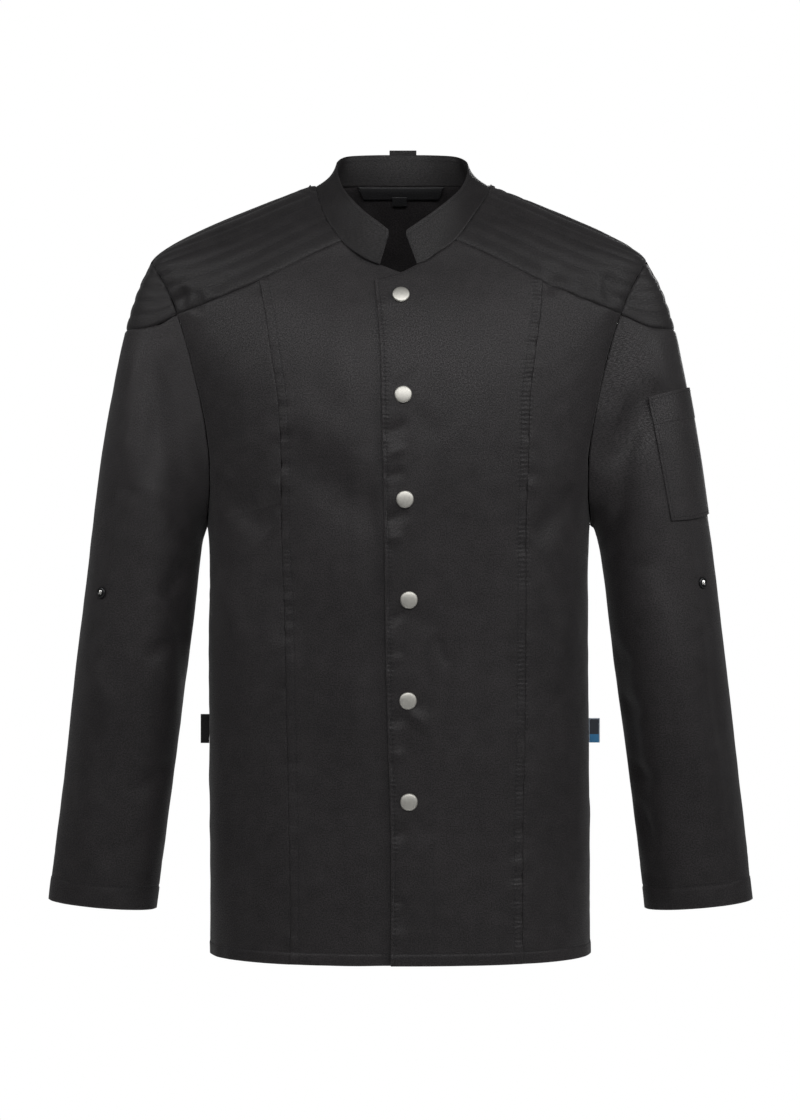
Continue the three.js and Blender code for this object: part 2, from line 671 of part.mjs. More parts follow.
function addFronts() {
  const flat = () => 0;
  const seam = (column) => (z) => readTable(PRINCESS, "z", z, column);
  const past = (line, amount) => (z) => line(z) + amount;
  const edge = (z) => readTable(PLACKET_EDGE, "z", z, "x");

  const leftSide = wallOf(
    frontSurface(() => -PAST_SIDE, past(seam("left"), SEAM_MARGIN), SIDE_FRONT_TOP, flat),
    { uSteps: 7, vSteps: 20 },
  );
  addPiece(
    "front_left_side",
    cut(leftSide, [
      beyond(princessLine("left"), RIGHTWARD),
      beyond(yokeLine("front", -1), UPWARD),
      outsideArmhole(-1),
      behindSideSeam("front"),
    ]),
    CLOTH,
  );

  const leftCentre = wallOf(
    frontSurface(past(seam("left"), -SEAM_MARGIN), past(edge, LAP), CENTRE_FRONT_TOP, lapDrop),
    { uSteps: 8, vSteps: 20 },
  );
  addPiece(
    "front_left_centre",
    cut(leftCentre, [
      beyond(princessLine("left"), LEFTWARD),
      beyond(yokeLine("front", -1), UPWARD),
      neckHole(-1, "front"),
    ]),
    CLOTH,
  );

  const rightCentre = wallOf(
    frontSurface(edge, past(seam("right"), SEAM_MARGIN), CENTRE_FRONT_TOP, flat),
    { uSteps: 7, vSteps: 20 },
  );
  addPiece(
    "front_right_centre",
    cut(rightCentre, [
      beyond(princessLine("right"), RIGHTWARD),
      beyond(yokeLine("front", 1), UPWARD),
      neckHole(1, "front"),
    ]),
    CLOTH,
  );

  const rightSide = wallOf(
    frontSurface(past(seam("right"), -SEAM_MARGIN), () => PAST_SIDE, SIDE_FRONT_TOP, flat),
    { uSteps: 7, vSteps: 20 },
  );
  addPiece(
    "front_right_side",
    cut(rightSide, [
      beyond(princessLine("right"), LEFTWARD),
      beyond(yokeLine("front", 1), UPWARD),
      outsideArmhole(1),
      behindSideSeam("front"),
    ]),
    CLOTH,
  );
}

function addBack() {
  const surface = (u, v) => bodyPointByAngle(lerp(90, -90, u), lerp(HEM_Z, BACK_TOP, v), "back");
  const wall = wallOf(surface, { uSteps: 20, vSteps: 24 });
  addPiece(
    "back",
    cut(wall, [
      outsideArmhole(-1),
      outsideArmhole(1),
      beyond(yokeLine("back", -1), UPWARD),
      beyond(yokeLine("back", 1), UPWARD),
      neckHole(-1, "back"),
      neckHole(1, "back"),
      behindSideSeam("back"),
    ]),
    CLOTH,
  );
}

// The yokes and the quilted sleeve caps

// The height of the padding between two stitched rows, by the distance from a row
function quilted(distance) {
  return QUILT_HEIGHT * Math.abs(Math.sin((Math.PI * distance) / QUILT_PITCH));
}

function yokeSurface(side) {
  return (u, v) => {
    const across = side > 0 ? u : 1 - u;
    const turn = 2 * v - 1;
    const face = turn < 0 ? "front" : "back";
    const rows = face === "front" ? FRONT_YOKE_SEAM : BACK_YOKE_SEAM;
    const seamX = lerp(YOKE_NECK[face].x, YOKE_ARM[face].x, across);
    const seamZ = readTable(rows, "x", seamX, "z") - YOKE_MARGIN;
    const ridgeX = lerp(YOKE_NECK.ridge.x, YOKE_ARM.ridge.x, across);
    const down = turn * turn;
    const x = lerp(ridgeX, seamX, down);
    const z = lerp(yokeRidge(ridgeX), seamZ, down);
    const centre = readTable(TORSO, "z", z, "centre");
    return bodyPoint(centre + side * x, z, face);
  };
}

// The shoulder's ridge, which runs up to the neck over its last few millimetres
function yokeRidge(x) {
  const end = 90;
  const share = (x - YOKE_NECK.ridge.x) / (end - YOKE_NECK.ridge.x);
  return x > end ? ridgeHeight(x) : lerp(YOKE_NECK.ridge.z, ridgeHeight(end), share);
}

function addYoke(name, side) {
  const wall = wallOf(yokeSurface(side), {
    uSteps: 9,
    vSteps: 2 * YOKE_ROWS,
    raised: (u, v) => quilted(Math.abs(2 * v - 1) * YOKE_ROWS * (QUILT_PITCH / 2)),
  });
  addPiece(
    name,
    cut(wall, [
      beyond(yokeLine("front", side), DOWNWARD, "front"),
      beyond(yokeLine("back", side), DOWNWARD, "back"),
      neckHole(side, "front"),
      neckHole(side, "back"),
      outsideArmhole(side),
    ]),
    QUILTED_CLOTH,
  );
}

function capLine(side) {
  return onSide(fineLine(CAP_SEAM, "x", "z", 18), side);
}

function addSleeve(name, side) {
  const angleOf = (u) => (side > 0 ? 360 * u : 360 * (1 - u));
  const surface = (u, v) => sleevePoint(side, lerp(-ARMHOLE_STEP.lead, CUFF_RING, v), angleOf(u));
  const wall = wallOf(surface, { uSteps: 20, vSteps: 21, loop: true });
  addPiece(name, cut(wall, [insideArmhole(side), beyond(capLine(side), UPWARD)]), CLOTH);
}

function addSleeveCap(name, side) {
  const angleOf = (u) => side * lerp(-CAP_REACH.angle, CAP_REACH.angle, u);
  const surface = (u, v) => sleevePoint(side, lerp(-ARMHOLE_STEP.lead, CAP_REACH.ring, v), angleOf(u));
  const vSteps = 9;
  const wall = wallOf(surface, {
    uSteps: 10,
    vSteps,
    raised: (u, v) => quilted(v * vSteps * (QUILT_PITCH / 2)),
  });
  addPiece(name, cut(wall, [insideArmhole(side), beyond(capLine(side), DOWNWARD)]), QUILTED_CLOTH);
}

// The collar stands on the neck seam and is open in front

function collarSurface() {
  const last = COLLAR.length - 1;
  const foot = COLLAR.map((row) => {
    if (row.face === "ridge") return { ...row, y: 0 };
    const sign = row.face === "front" ? -1 : 1;
    return { ...row, y: sign * sectionDepth(row.skew + row.x, row.z, row.face) };
  });
  return (u, v) => {
    const side = u < 0.5 ? 1 : -1;
    const ring = last * (1 - Math.abs(2 * u - 1));
    const read = (column) => readRing(foot, ring, column);
    const low = new THREE.Vector3(read("skew") + side * read("x"), read("y"), read("z") + COLLAR_LIFT);
    const high = new THREE.Vector3(read("topSkew") + side * read("topX"), read("topY"), read("topZ"));
    const inward = new THREE.Vector3(-low.x, -low.y, 0).normalize();
    return low.lerp(high, v).addScaledVector(inward, read("bow") * Math.sin(Math.PI * v));
  };
}

function addCollar() {
  const wall = wallOf(collarSurface(), { uSteps: 30, vSteps: 3 });
  addPiece(
    "collar",
    cut(wall, [
      besideNeck(-1, "front"),
      besideNeck(1, "front"),
      besideNeck(-1, "back"),
      besideNeck(1, "back"),
    ]),
    CLOTH,
  );
}

// The hanging loop: a folded strap that stands behind the collar
function addCollarLoop() {
  const half = LOOP.thickness / 2;
  const profile = new THREE.Shape();
  profile.moveTo(-half, LOOP.bottom);
  profile.lineTo(half, LOOP.bottom);
  profile.lineTo(half, LOOP.top - half);
  profile.absarc(0, LOOP.top - half, half, 0, Math.PI, false);
  profile.lineTo(-half, LOOP.bottom);
  const geometry = new THREE.ExtrudeGeometry(profile, {
    depth: LOOP.width,
    bevelEnabled: false,
    curveSegments: 6,
  });
  geometry.rotateY(Math.PI / 2);
  geometry.rotateX(Math.PI / 2);
  geometry.translate(LOOP.x - LOOP.width / 2, half, -LOOP.bottom);
  geometry.rotateX(radians(LOOP.lean));
  geometry.translate(0, LOOP.back, LOOP.bottom);
  addPiece("collar_loop", solidOf(geometry), CLOTH);
}

// Labels: the neck label and the size tag lie on the inside of the back, one on the other

function insideBack(x, z, depth) {
  const patch = (u, v) => bodyPoint(x - u * PATCH, z + v * PATCH, "back");
  return patch(0, 0).addScaledVector(normalAt(patch, 0, 0), -depth);
}

function addLabel(name, label, depth, material) {
  const surface = (u, v) => {
    const halfWidth = lerp(label.bottomWidth, label.topWidth, v) / 2;
    return insideBack(label.x + lerp(halfWidth, -halfWidth, u), lerp(label.bottom, label.top, v), depth);
  };
  addPiece(name, wallOf(surface, { uSteps: 10, vSteps: 2, from: -label.thickness }), material);
}

function addLabels() {
  const facetAllowance = 0.5;
  const neckDepth = WALL + SEAT_GAP + facetAllowance;
  addLabel("neck_label", { x: 0, ...NECK_LABEL }, neckDepth, LABEL_CLOTH);
  const sizeDepth = neckDepth + NECK_LABEL.thickness + SEAT_GAP;
  const sizeTag = { ...SIZE_TAG, topWidth: SIZE_TAG.width, bottomWidth: SIZE_TAG.width };
  addLabel("size_tag", sizeTag, sizeDepth, LABEL_CLOTH);
}

// A tag caught in the side seam, which sticks out sideways
function addSideTag({ name, side, top, bottom, reach }) {
  const middle = (top + bottom) / 2;
  const halfWidth = readTable(TORSO, "z", middle, "halfWidth");
  const centre = readTable(TORSO, "z", middle, "centre");
  const geometry = new THREE.BoxGeometry(reach, SIDE_TAG_THICKNESS, top - bottom);
  geometry.translate(centre + side * (halfWidth + SEAT_GAP + reach / 2), 0, middle);
  addPiece(name, solidOf(geometry), side > 0 ? TAG_CLOTH : LABEL_CLOTH);
}

// The pen pocket: two walls on the sleeve, cut along their edges

function pocketWall(side, thickness) {
  const ringOf = (v) => lerp(POCKET.topRing, POCKET.bottomRing, v);
  const angleOf = (u) => lerp(POCKET.backAngle, POCKET.frontAngle, u);
  const surface = (u, v) => sleevePoint(side, ringOf(v), angleOf(u));
  const from = POCKET.clearance;
  return wallOf(surface, { uSteps: 10, vSteps: 8, from, to: from + thickness });
}

function addPocket() {
  const side = 1;
  addPiece(
    "sleeve_pocket",
    cut(pocketWall(side, POCKET.thickness), [
      beyond(POCKET.edge, LEFTWARD),
      beyond(POCKET.band, UPWARD),
      beyond(POCKET.bottom, DOWNWARD),
    ]),
    CLOTH,
  );
  addPiece(
    "sleeve_pocket_band",
    cut(pocketWall(side, POCKET.bandThickness), [
      beyond(POCKET.edge, LEFTWARD),
      beyond(POCKET.top, UPWARD),
      beyond(POCKET.band, DOWNWARD),
    ]),
    CLOTH,
  );
}

// Snap caps and sleeve studs, turned about the line square to the cloth

function seatOn(geometry, point, normal) {
  geometry.rotateX(Math.PI / 2);
  const turn = new THREE.Quaternion().setFromUnitVectors(new THREE.Vector3(0, 0, 1), normal);
  geometry.applyQuaternion(turn);
  geometry.translate(point.x, point.y, point.z);
  return solidOf(geometry);
}

function capProfile({ radius, rim, height }) {
  const dome = Array.from({ length: 4 }, (_, i) => {
    const t = (i / 4) * (Math.PI / 2);
    return new THREE.Vector2(radius * Math.cos(t), rim + (height - rim) * Math.sin(t));
  });
  return [new THREE.Vector2(0, 0), new THREE.Vector2(radius, 0), ...dome, new THREE.Vector2(0, height)];
}

function studProfile({ radius, shoulder, top, height, well, depth }) {
  return [
    new THREE.Vector2(0, 0),
    new THREE.Vector2(radius, 0),
    new THREE.Vector2(radius, shoulder),
    new THREE.Vector2(top, height),
    new THREE.Vector2(well, height),
    new THREE.Vector2(well, height - depth),
    new THREE.Vector2(0, height - depth),
  ];
}

function addSnaps() {
  SNAPS.forEach((snap, index) => {
    const patch = (u, v) => bodyPoint(snap.x + u * PATCH, snap.z + v * PATCH, "front");
    const normal = normalAt(patch, 0, 0);
    const seat = patch(0, 0).addScaledVector(normal, SEAT_GAP);
    const geometry = new THREE.LatheGeometry(capProfile(SNAP_CAP), 14);
    addPiece("snap_" + (index + 1), seatOn(geometry, seat, normal), SILVER);
  });
}

function addSleeveStuds() {
  STUD_PLACES.forEach(({ side, ring, angle, seat }) => {
    const patch = (u, v) => sleevePoint(side, ring + v, angle + side * u);
    const normal = normalAt(patch, 0, 0);
    const place = patch(0, 0).addScaledVector(normal, seat);
    const geometry = new THREE.LatheGeometry(studProfile(STUD), 12);
    const name = side > 0 ? "sleeve_stud_right" : "sleeve_stud_left";
    addPiece(name, seatOn(geometry, place, normal), BLACK_METAL);
  });
}

addFronts();
addBack();
addYoke("yoke_left", -1);
addYoke("yoke_right", 1);
addSleeve("sleeve_left", -1);
addSleeve("sleeve_right", 1);
addSleeveCap("sleeve_cap_left", -1);
addSleeveCap("sleeve_cap_right", 1);
addCollar();
addCollarLoop();
addLabels();
SIDE_TAGS.forEach(addSideTag);
addPocket();
addSnaps();
addSleeveStuds();

export default jacket;
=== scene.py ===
# The looks of a snap-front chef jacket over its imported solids. The tables and functions are in millimetres,
# and a mesh becomes metres when it is made. The front faces -Y. Side is 1 for the wearer's left, -1 for the
# right, and left and right in a name are those of the picture.

import math

import bpy
import numpy as np
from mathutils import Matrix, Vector

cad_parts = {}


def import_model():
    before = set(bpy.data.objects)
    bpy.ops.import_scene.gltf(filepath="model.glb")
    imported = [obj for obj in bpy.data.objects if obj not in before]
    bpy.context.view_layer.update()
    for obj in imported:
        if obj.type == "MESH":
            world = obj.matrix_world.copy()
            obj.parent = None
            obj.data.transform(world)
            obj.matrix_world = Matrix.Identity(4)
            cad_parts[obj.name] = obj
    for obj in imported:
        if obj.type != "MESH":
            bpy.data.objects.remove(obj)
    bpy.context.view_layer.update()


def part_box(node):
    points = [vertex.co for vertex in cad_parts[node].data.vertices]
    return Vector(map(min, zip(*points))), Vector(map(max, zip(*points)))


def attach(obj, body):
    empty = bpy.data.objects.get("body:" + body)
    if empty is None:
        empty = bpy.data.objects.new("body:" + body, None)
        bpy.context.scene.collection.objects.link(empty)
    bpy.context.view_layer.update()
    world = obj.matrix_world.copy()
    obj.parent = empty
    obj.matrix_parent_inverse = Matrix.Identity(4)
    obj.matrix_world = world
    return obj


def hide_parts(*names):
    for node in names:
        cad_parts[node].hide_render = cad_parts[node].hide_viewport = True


MM = 0.001
FRONT_CELL = 2.6
BACK_CELL = 3.4
SLEEVE_CELL = 3.0
FINE_CELL = 2.2
SECTION_POWER = 2.4
HEM_Z = -760
HEM_LINE = 11
CUFF_LINE = 22
CUFF_FOLD = 46
PEN_SLOT = (46, 52)
PEN_SLOT_SPAN = (0.45, 0.78)
PRINCESS_LINE = 8.5
PLACKET_TOPSTITCH = 3
PLACKET_LINE = 40
SEAM_GAP = 0.2
SEAM_MEETS = 0.24
ARMHOLE_OVERLAP = 0.4
SIDE_GAP_ANGLE = 0.05
CLOTH_WALL = 1.6
NARROWEST_CUT = 0.0101


def lerp(a, b, t):
    return a + (b - a) * t


def ease(value):
    t = np.clip(value, 0, 1)
    return t * t * (3 - 2 * t)


def smooth_curve(place, value, at):
    """A smooth curve through a few points, straight beyond its ends."""
    if place[0] > place[-1]:
        place, value = place[::-1], value[::-1]
    at = np.asarray(at, float)
    slope = np.empty_like(value)
    slope[1:-1] = (value[2:] - value[:-2]) / (place[2:] - place[:-2])
    slope[0] = (value[1] - value[0]) / (place[1] - place[0])
    slope[-1] = (value[-1] - value[-2]) / (place[-1] - place[-2])
    i = np.clip(np.searchsorted(place, at) - 1, 0, len(place) - 2)
    span = place[i + 1] - place[i]
    t = (at - place[i]) / span
    middle = (
        (2 * t**3 - 3 * t**2 + 1) * value[i]
        + (t**3 - 2 * t**2 + t) * span * slope[i]
        + (3 * t**2 - 2 * t**3) * value[i + 1]
        + (t**3 - t**2) * span * slope[i + 1]
    )
    before = value[0] + slope[0] * (at - place[0])
    after = value[-1] + slope[-1] * (at - place[-1])
    return np.where(at < place[0], before, np.where(at > place[-1], after, middle))


class Table:
    """A short table with named columns, read as smooth curves along its key column, or along its rows."""

    def __init__(self, columns, rows, key=None):
        values = np.array(rows, float)
        self.columns = dict(zip(columns, values.T))
        self.place = self.columns[key] if key else np.arange(len(rows), dtype=float)

    def read(self, column, at):
        return smooth_curve(self.place, self.columns[column], at)


# The body's level sections, with the depth to the front and to the back
TORSO = Table(
    ("z", "half_width", "front", "back", "centre"),
    [
        (14, 86, 8, 50, 0),
        (5, 88, 11, 52, 0),
        (0, 100, 18, 55, 0),
        (-20, 150.5, 36, 66, 0),
        (-40, 197, 51, 76, 0),
        (-60, 234, 62, 85, -1),
        (-75, 248.5, 69, 90, -2),
        (-100, 246.5, 82, 97, -2),
        (-126, 238, 94, 102, -2),
        (-165, 226.5, 107, 108, -2),
        (-207, 216, 115, 112, -2),
        (-274, 203, 120, 113, -2),
        (-335, 190.5, 121, 110, -2),
        (-450, 189.5, 119, 104, -2.5),
        (-600, 189.5, 116, 102, -1.5),
        (-760, 189.5, 119, 107, -0.5),
    ],
    "z",
)

# The armhole seam, as distance from the middle
ARMHOLE = Table(
    ("z", "x"),
    [
        (-20, 277),
        (-45, 263),
        (-72, 247.5),
        (-100, 231),
        (-128, 219),
        (-163, 207.5),
        (-210, 195.5),
        (-243, 189.5),
        (-273, 186.2),
        (-305, 186.4),
        (-335, 190.7),
        (-352, 191.3),
    ],
    "z",
)
ARMHOLE_TOP = -72
ARMHOLE_MEETS_YOKE = -128
ARMHOLE_BOTTOM = -335
ARMHOLE_FADE = 4.5
SLEEVE_CENTRE = -2

# The sleeve's rings, from the armhole to the cuff
SLEEVE = Table(
    ("outer_x", "outer_z", "inner_x", "inner_z", "half_depth", "forward"),
    [
        (247.5, -72, 190.7, -335, 61, 0),
        (261, -100, 191.6, -337.5, 62, 0),
        (273.5, -140, 192.6, -340.5, 63, 0),
        (284, -190, 193.8, -344.5, 64, 1),
        (296, -260, 195.6, -351, 65, 2),
        (306.5, -335, 198.8, -368, 65, 4),
        (314, -392, 204.5, -412, 63, 6),
        (322, -460, 212, -475, 60, 8),
        (333, -560, 225, -571, 53, 11),
        (343, -640, 236, -650, 48, 14),
        (351.2, -706, 245, -715.5, 44, 16),
    ],
)
CUFF_RING = 10

# How far each ring lies towards the wearer's left, on each sleeve
SLEEVE_SHIFT = Table(
    (-1, 1),
    [
        (0, 0),
        (0, 2),
        (0, 2.5),
        (0, 2.5),
        (0, 2.5),
        (1, 2.5),
        (2, 2.5),
        (2, 2.5),
        (2.5, 2.5),
        (3, 1.5),
        (3.5, 0),
    ],
)

# The neck seam and the collar's top edge, from the front end to the middle of the back
COLLAR = Table(
    ("x", "skew", "y_share", "z", "top_x", "top_skew", "top_y", "top_z", "bow"),
    [
        (18.4, -2.4, -1, -81, 7.2, -3.7, -60, -47.6, 0),
        (27, -2.4, -1, -78, 16.2, -2.7, -59.5, -41, 0),
        (38.5, -4, -1, -70.5, 34.5, -2, -53, -27, 0),
        (55, -2.8, -1, -57, 49.2, -0.2, -40, -13, 1),
        (72, -2, -1, -32, 59.5, 1, -25, 0, 2),
        (84.5, 1.5, -1, -6, 65.2, 1.6, -8, 15, 3),
        (86, 1.5, 0, 3.6, 66.2, 1.3, 4, 23, 4),
        (82, 1.5, 1, 5, 64.5, 1, 18, 31, 3),
        (67, 1, 1, 7.5, 55.5, 0, 35, 37.5, 2),
        (35, 0, 1, 9, 30, 0, 47, 40.5, 1),
        (0, 0, 1, 9, 0, 0, 50.5, 41, 1),
    ],
)
COLLAR_CORNER = 6
COLLAR_LOOPS = (3.6, 4.6, 5.6)
SHOULDER_RING = 6
NECK_BACK = Table(("x", "z"), [(0, 9.3), (35, 9.3), (67, 7.8), (82, 5.3)], "x")

FRONT_YOKE_SEAM = Table(
    ("x", "z"),
    [(30, -44), (56.5, -56.5), (90, -72.5), (136, -96), (183, -115.5), (219, -128), (245, -137)],
    "x",
)
BACK_YOKE_SEAM = Table(
    ("x", "z"),
    [(50, 34), (67, 7.5), (90, -28), (136, -72), (183, -104), (219, -128), (245, -144)],
    "x",
)
CAP_SEAM = Table(
    ("x", "z"),
    [(190, -118), (219, -128), (236, -136), (250, -140.5), (271, -141), (320, -141)],
    "x",
)
YOKE_CENTRE = -1

# The neckline of each front, from the yoke to the edge under or over the other front
NECKLINE = {
    -1: [
        (-75, -30),
        (-57.8, -57),
        (-42.5, -70.5),
        (-29.4, -78),
        (-20.8, -81),
        (0, -89.2),
        (24.9, -95.5),
        (60, -104),
    ],
    1: [
        (-60, -104),
        (-24.9, -95.5),
        (0, -89.2),
        (16, -81),
        (24.6, -78),
        (34.5, -70.5),
        (52.2, -57),
        (72, -30),
    ],
}

# The pen pocket on the wearer's left sleeve
POCKET_EDGE = [(-180, 238), (-210.4, 243), (-330, 264), (-364, 270)]
POCKET_TOP = [(200, -222.3), (243, -210.4), (330, -186.3)]
POCKET_BAND = [(200, -248.5), (249, -237.6), (330, -219.7)]
POCKET_BOTTOM = [(200, -331), (284, -330), (330, -314)]
POCKET_BACK_ANGLE = -26

SNAPS = [(0, -112.6), (2.1, -210.8), (3.8, -311.8), (7.6, -408.4), (6.7, -505.4), (7.6, -602.8)]

PRINCESS = Table(
    ("z", "left", "right"),
    [
        (-60, -146, 142),
        (-98, -138, 138.5),
        (-132, -131.5, 135.5),
        (-176, -125, 129.5),
        (-215, -119, 125),
        (-250, -116.8, 124),
        (-330, -116, 121.5),
        (-430, -112.4, 121),
        (-520, -110.8, 120.5),
        (-650, -107.9, 118),
        (-790, -107, 117.6),
    ],
    "z",
)
PLACKET_EDGE = Table(
    ("z", "x"),
    [
        (-60, -27),
        (-95.5, -24.9),
        (-162, -19.5),
        (-247, -17.3),
        (-330, -15.4),
        (-450, -14),
        (-540, -11.8),
        (-650, -8.9),
        (-790, -9.4),
    ],
    "z",
)
LAP = 42
LAP_DROP = 3.4
LAP_EASE = 26
LAP_LEAD = 8

# Soft ridges, and troughs where the height is negative: along from and to, across from and to, width and
# height. On the body they run along z and across x, and on a sleeve along its rings and across its angle.
BODY_FOLDS = {
    "front": [
        (-330, -620, -128, -142, 26, 3),
        (-560, -790, -152, -160, 24, -4),
        (-520, -790, 158, 140, 22, -4),
        (-640, -800, 122, 150, 20, 3),
        (-260, -470, -150, -100, 26, -3),
        (-250, -480, 160, 135, 26, 3),
    ],
    "back": [
        (-300, -640, -120, -95, 30, -5),
        (-340, -700, 110, 120, 28, -5),
        (-420, -800, 10, -10, 34, -5),
        (-480, -800, -60, -52, 24, 4),
        (-520, -800, 66, 58, 24, 4),
    ],
}
SLEEVE_FOLDS = {
    -1: [
        (1.5, 5.2, 60, 150, 18, -4),
        (5.2, 7.6, 120, 175, 20, -4),
        (6.6, 10, 50, 75, 18, 3),
        (3, 7, 250, 215, 22, -5),
        (6, 9.5, 290, 250, 22, -4),
    ],
    1: [
        (1.5, 5, 85, 150, 18, -4),
        (5.4, 9.4, 105, 60, 18, 4),
        (6.4, 9.2, 165, 140, 18, -4),
        (3, 7, 245, 215, 22, -5),
        (6, 9.5, 285, 250, 22, -4),
    ],
}


def fold_height(folds, along, across):
    total = np.zeros(np.broadcast(along, across).shape)
    for start, end, across_start, across_end, width, height in folds:
        t = (along - start) / (end - start)
        offset = (across - lerp(across_start, across_end, t)) / width
        bump = height * np.sin(np.pi * np.clip(t, 0, 1)) * np.exp(-(offset**2))
        total += np.where((t > 0) & (t < 1), bump, 0)
    return total


def bisect(is_low, low, high, steps=17):
    """The place between low and high where is_low changes from true to false."""
    for _ in range(steps):
        middle = (low + high) / 2
        keep = is_low(middle)
        low, high = np.where(keep, middle, low), np.where(keep, high, middle)
    return (low + high) / 2


def points_of(x, y, z):
    return np.stack(np.broadcast_arrays(x, y, z), axis=-1).astype(float)


# The body's surface


def section_depth(x, z, face):
    share = np.abs(x - TORSO.read("centre", z)) / TORSO.read("half_width", z)
    rounded = np.clip(1 - share**SECTION_POWER, 0, 1) ** (1 / SECTION_POWER)
    return TORSO.read(face, z) * rounded


def body_point(x, z, face):
    depth = section_depth(x, z, face)
    folds = ease(depth / 40) * fold_height(BODY_FOLDS[face], z, x)
    return points_of(x, (depth + folds) * (-1 if face == "front" else 1), z)


def body_x(angle, z):
    sine = np.sin(np.radians(angle))
    bent = np.sign(sine) * np.abs(sine) ** (2 / SECTION_POWER)
    return TORSO.read("centre", z) + TORSO.read("half_width", z) * bent


def body_angle(x, z):
    share = np.clip((x - TORSO.read("centre", z)) / TORSO.read("half_width", z), -1, 1)
    return np.degrees(np.arcsin(np.sign(share) * np.abs(share) ** (SECTION_POWER / 2)))


def armhole_x(side, z):
    return SLEEVE_CENTRE + side * ARMHOLE.read("x", z)


def side_angle(side, z):
    """The side seam, and above it the armhole."""
    return np.where(z < ARMHOLE_BOTTOM, 90.0 * side, body_angle(armhole_x(side, z), z))


def ridge_height(x):
    low, high = np.full(np.shape(x), -75.0), np.full(np.shape(x), 14.0)
    return bisect(lambda z: TORSO.read("half_width", z) > x, low, high, 36)


# The sleeve's surface: the angle is 0 on the outside of the arm and 90 in front


def armhole_point(angle):
    sine = np.sin(np.radians(angle))
    z = lerp(ARMHOLE_TOP, ARMHOLE_BOTTOM, (1 - np.cos(np.radians(angle))) / 2)
    x = ARMHOLE.read("x", z)
    place = x + TORSO.read("centre", z)
    depth = np.where(sine > 0, section_depth(place, z, "front"), section_depth(place, z, "back"))
    return points_of(x, -np.sign(sine) * depth * np.minimum(1, np.abs(sine) * 4), z)


def ring_middle(ring):
    x = (SLEEVE.read("outer_x", ring) + SLEEVE.read("inner_x", ring)) / 2
    z = (SLEEVE.read("outer_z", ring) + SLEEVE.read("inner_z", ring)) / 2
    return points_of(x, -SLEEVE.read("forward", ring), z)


def ring_point(ring, angle):
    along = np.cos(np.radians(angle)) / 2
    x = along * (SLEEVE.read("outer_x", ring) - SLEEVE.read("inner_x", ring))
    z = along * (SLEEVE.read("outer_z", ring) - SLEEVE.read("inner_z", ring))
    y = -np.sin(np.radians(angle)) * SLEEVE.read("half_depth", ring)
    return ring_middle(ring) + points_of(x, y, z)


def sleeve_point(side, ring, angle):
    ring, angle = np.broadcast_arrays(np.asarray(ring, float), np.asarray(angle, float))
    keep = (1 - ease(ring / ARMHOLE_FADE))[..., None]
    point = ring_point(ring, angle) + keep * (armhole_point(angle) - ring_point(0 * ring, angle))
    outward = unit(point - ring_middle(ring))
    point = point + outward * fold_height(SLEEVE_FOLDS[side], ring, angle % 360)[..., None]
    return mirrored(point, side, ring)


def mirrored(point, side, ring):
    shift = SLEEVE_CENTRE + SLEEVE_SHIFT.read(side, ring)
    return point * (side, 1, 1) + points_of(shift, 0, 0)


def unit(vectors):
    return vectors / np.maximum(np.linalg.norm(vectors, axis=-1, keepdims=True), 1e-9)


# Grids: rows and columns of points on a surface, with the distances from their four edges


class Grid:
    """Points in rows from the bottom up and columns from left to right, seen from outside."""

    def __init__(self, points, inside, loop=False):
        self.loop = loop
        self.points = points
        if np.sum(self.measure_normals(points) * (points - inside)) < 0:
            self.points = points[:, ::-1]
        self.normals = self.measure_normals(self.points)
        rows = np.linalg.norm(np.diff(self.points, axis=1), axis=-1)
        columns = np.linalg.norm(np.diff(self.points, axis=0), axis=-1)
        self.left = np.pad(np.cumsum(rows, axis=1), ((0, 0), (1, 0)))
        self.bottom = np.pad(np.cumsum(columns, axis=0), ((1, 0), (0, 0)))
        self.right = self.left[:, -1:] - self.left
        self.top = self.bottom[-1:] - self.bottom
        self.height = np.zeros(self.left.shape)
        self.lift = np.zeros(self.left.shape)
        self.wear_and_edge_highlight = np.zeros(self.left.shape)
        self.pucker_and_shade = np.zeros(self.left.shape)

    def measure_normals(self, points):
        if not self.loop:
            return unit(np.cross(np.gradient(points, axis=1), np.gradient(points, axis=0)))
        wrapped = np.concatenate([points[:, -2:-1], points, points[:, 1:2]], axis=1)
        du = np.gradient(wrapped, axis=1)[:, 1:-1]
        return unit(np.cross(du, np.gradient(points, axis=0)))

    def outer(self):
        return self.points + self.normals * (self.height + self.lift)[..., None]

    def flat_size(self):
        """The widest row and the longest column. A tube's upper rows slant, so only its lower half counts."""
        rows = self.left[: len(self.left) // 2] if self.loop else self.left
        return rows[:, -1].max() * MM, self.bottom[-1].max() * MM

    def area(self):
        a, b = self.points[:-1, :-1], self.points[1:, 1:]
        c, d = self.points[:-1, 1:], self.points[1:, :-1]
        return np.linalg.norm(np.cross(b - a, d - c), axis=-1).sum() / 2 * MM * MM

    def line(self, edge, distance, start=0.0, end=1.0):
        """Points and normals on the outside along an edge, at one distance from it."""
        away = getattr(self, edge)
        points, normals = self.outer(), self.normals
        if edge in ("bottom", "top"):
            points, normals, away = points.swapaxes(0, 1), normals.swapaxes(0, 1), away.T
        found, facing = [], []
        for place, normal, row in zip(points, normals, away):
            if row.max() < distance:
                continue
            order = np.argsort(row)
            found.append([np.interp(distance, row[order], place[order, k]) for k in range(3)])
            facing.append([np.interp(distance, row[order], normal[order, k]) for k in range(3)])
        first, last = int(start * len(found)), int(end * len(found))
        return np.array(found[first:last]), unit(np.array(facing[first:last]))


EDGE_LOOPS = (0.4, 0.9, 1.6, 2.6)


def stitch_loops(distance):
    return tuple(distance + offset for offset in (-1.4, -0.6, 0.0, 0.6, 1.4))


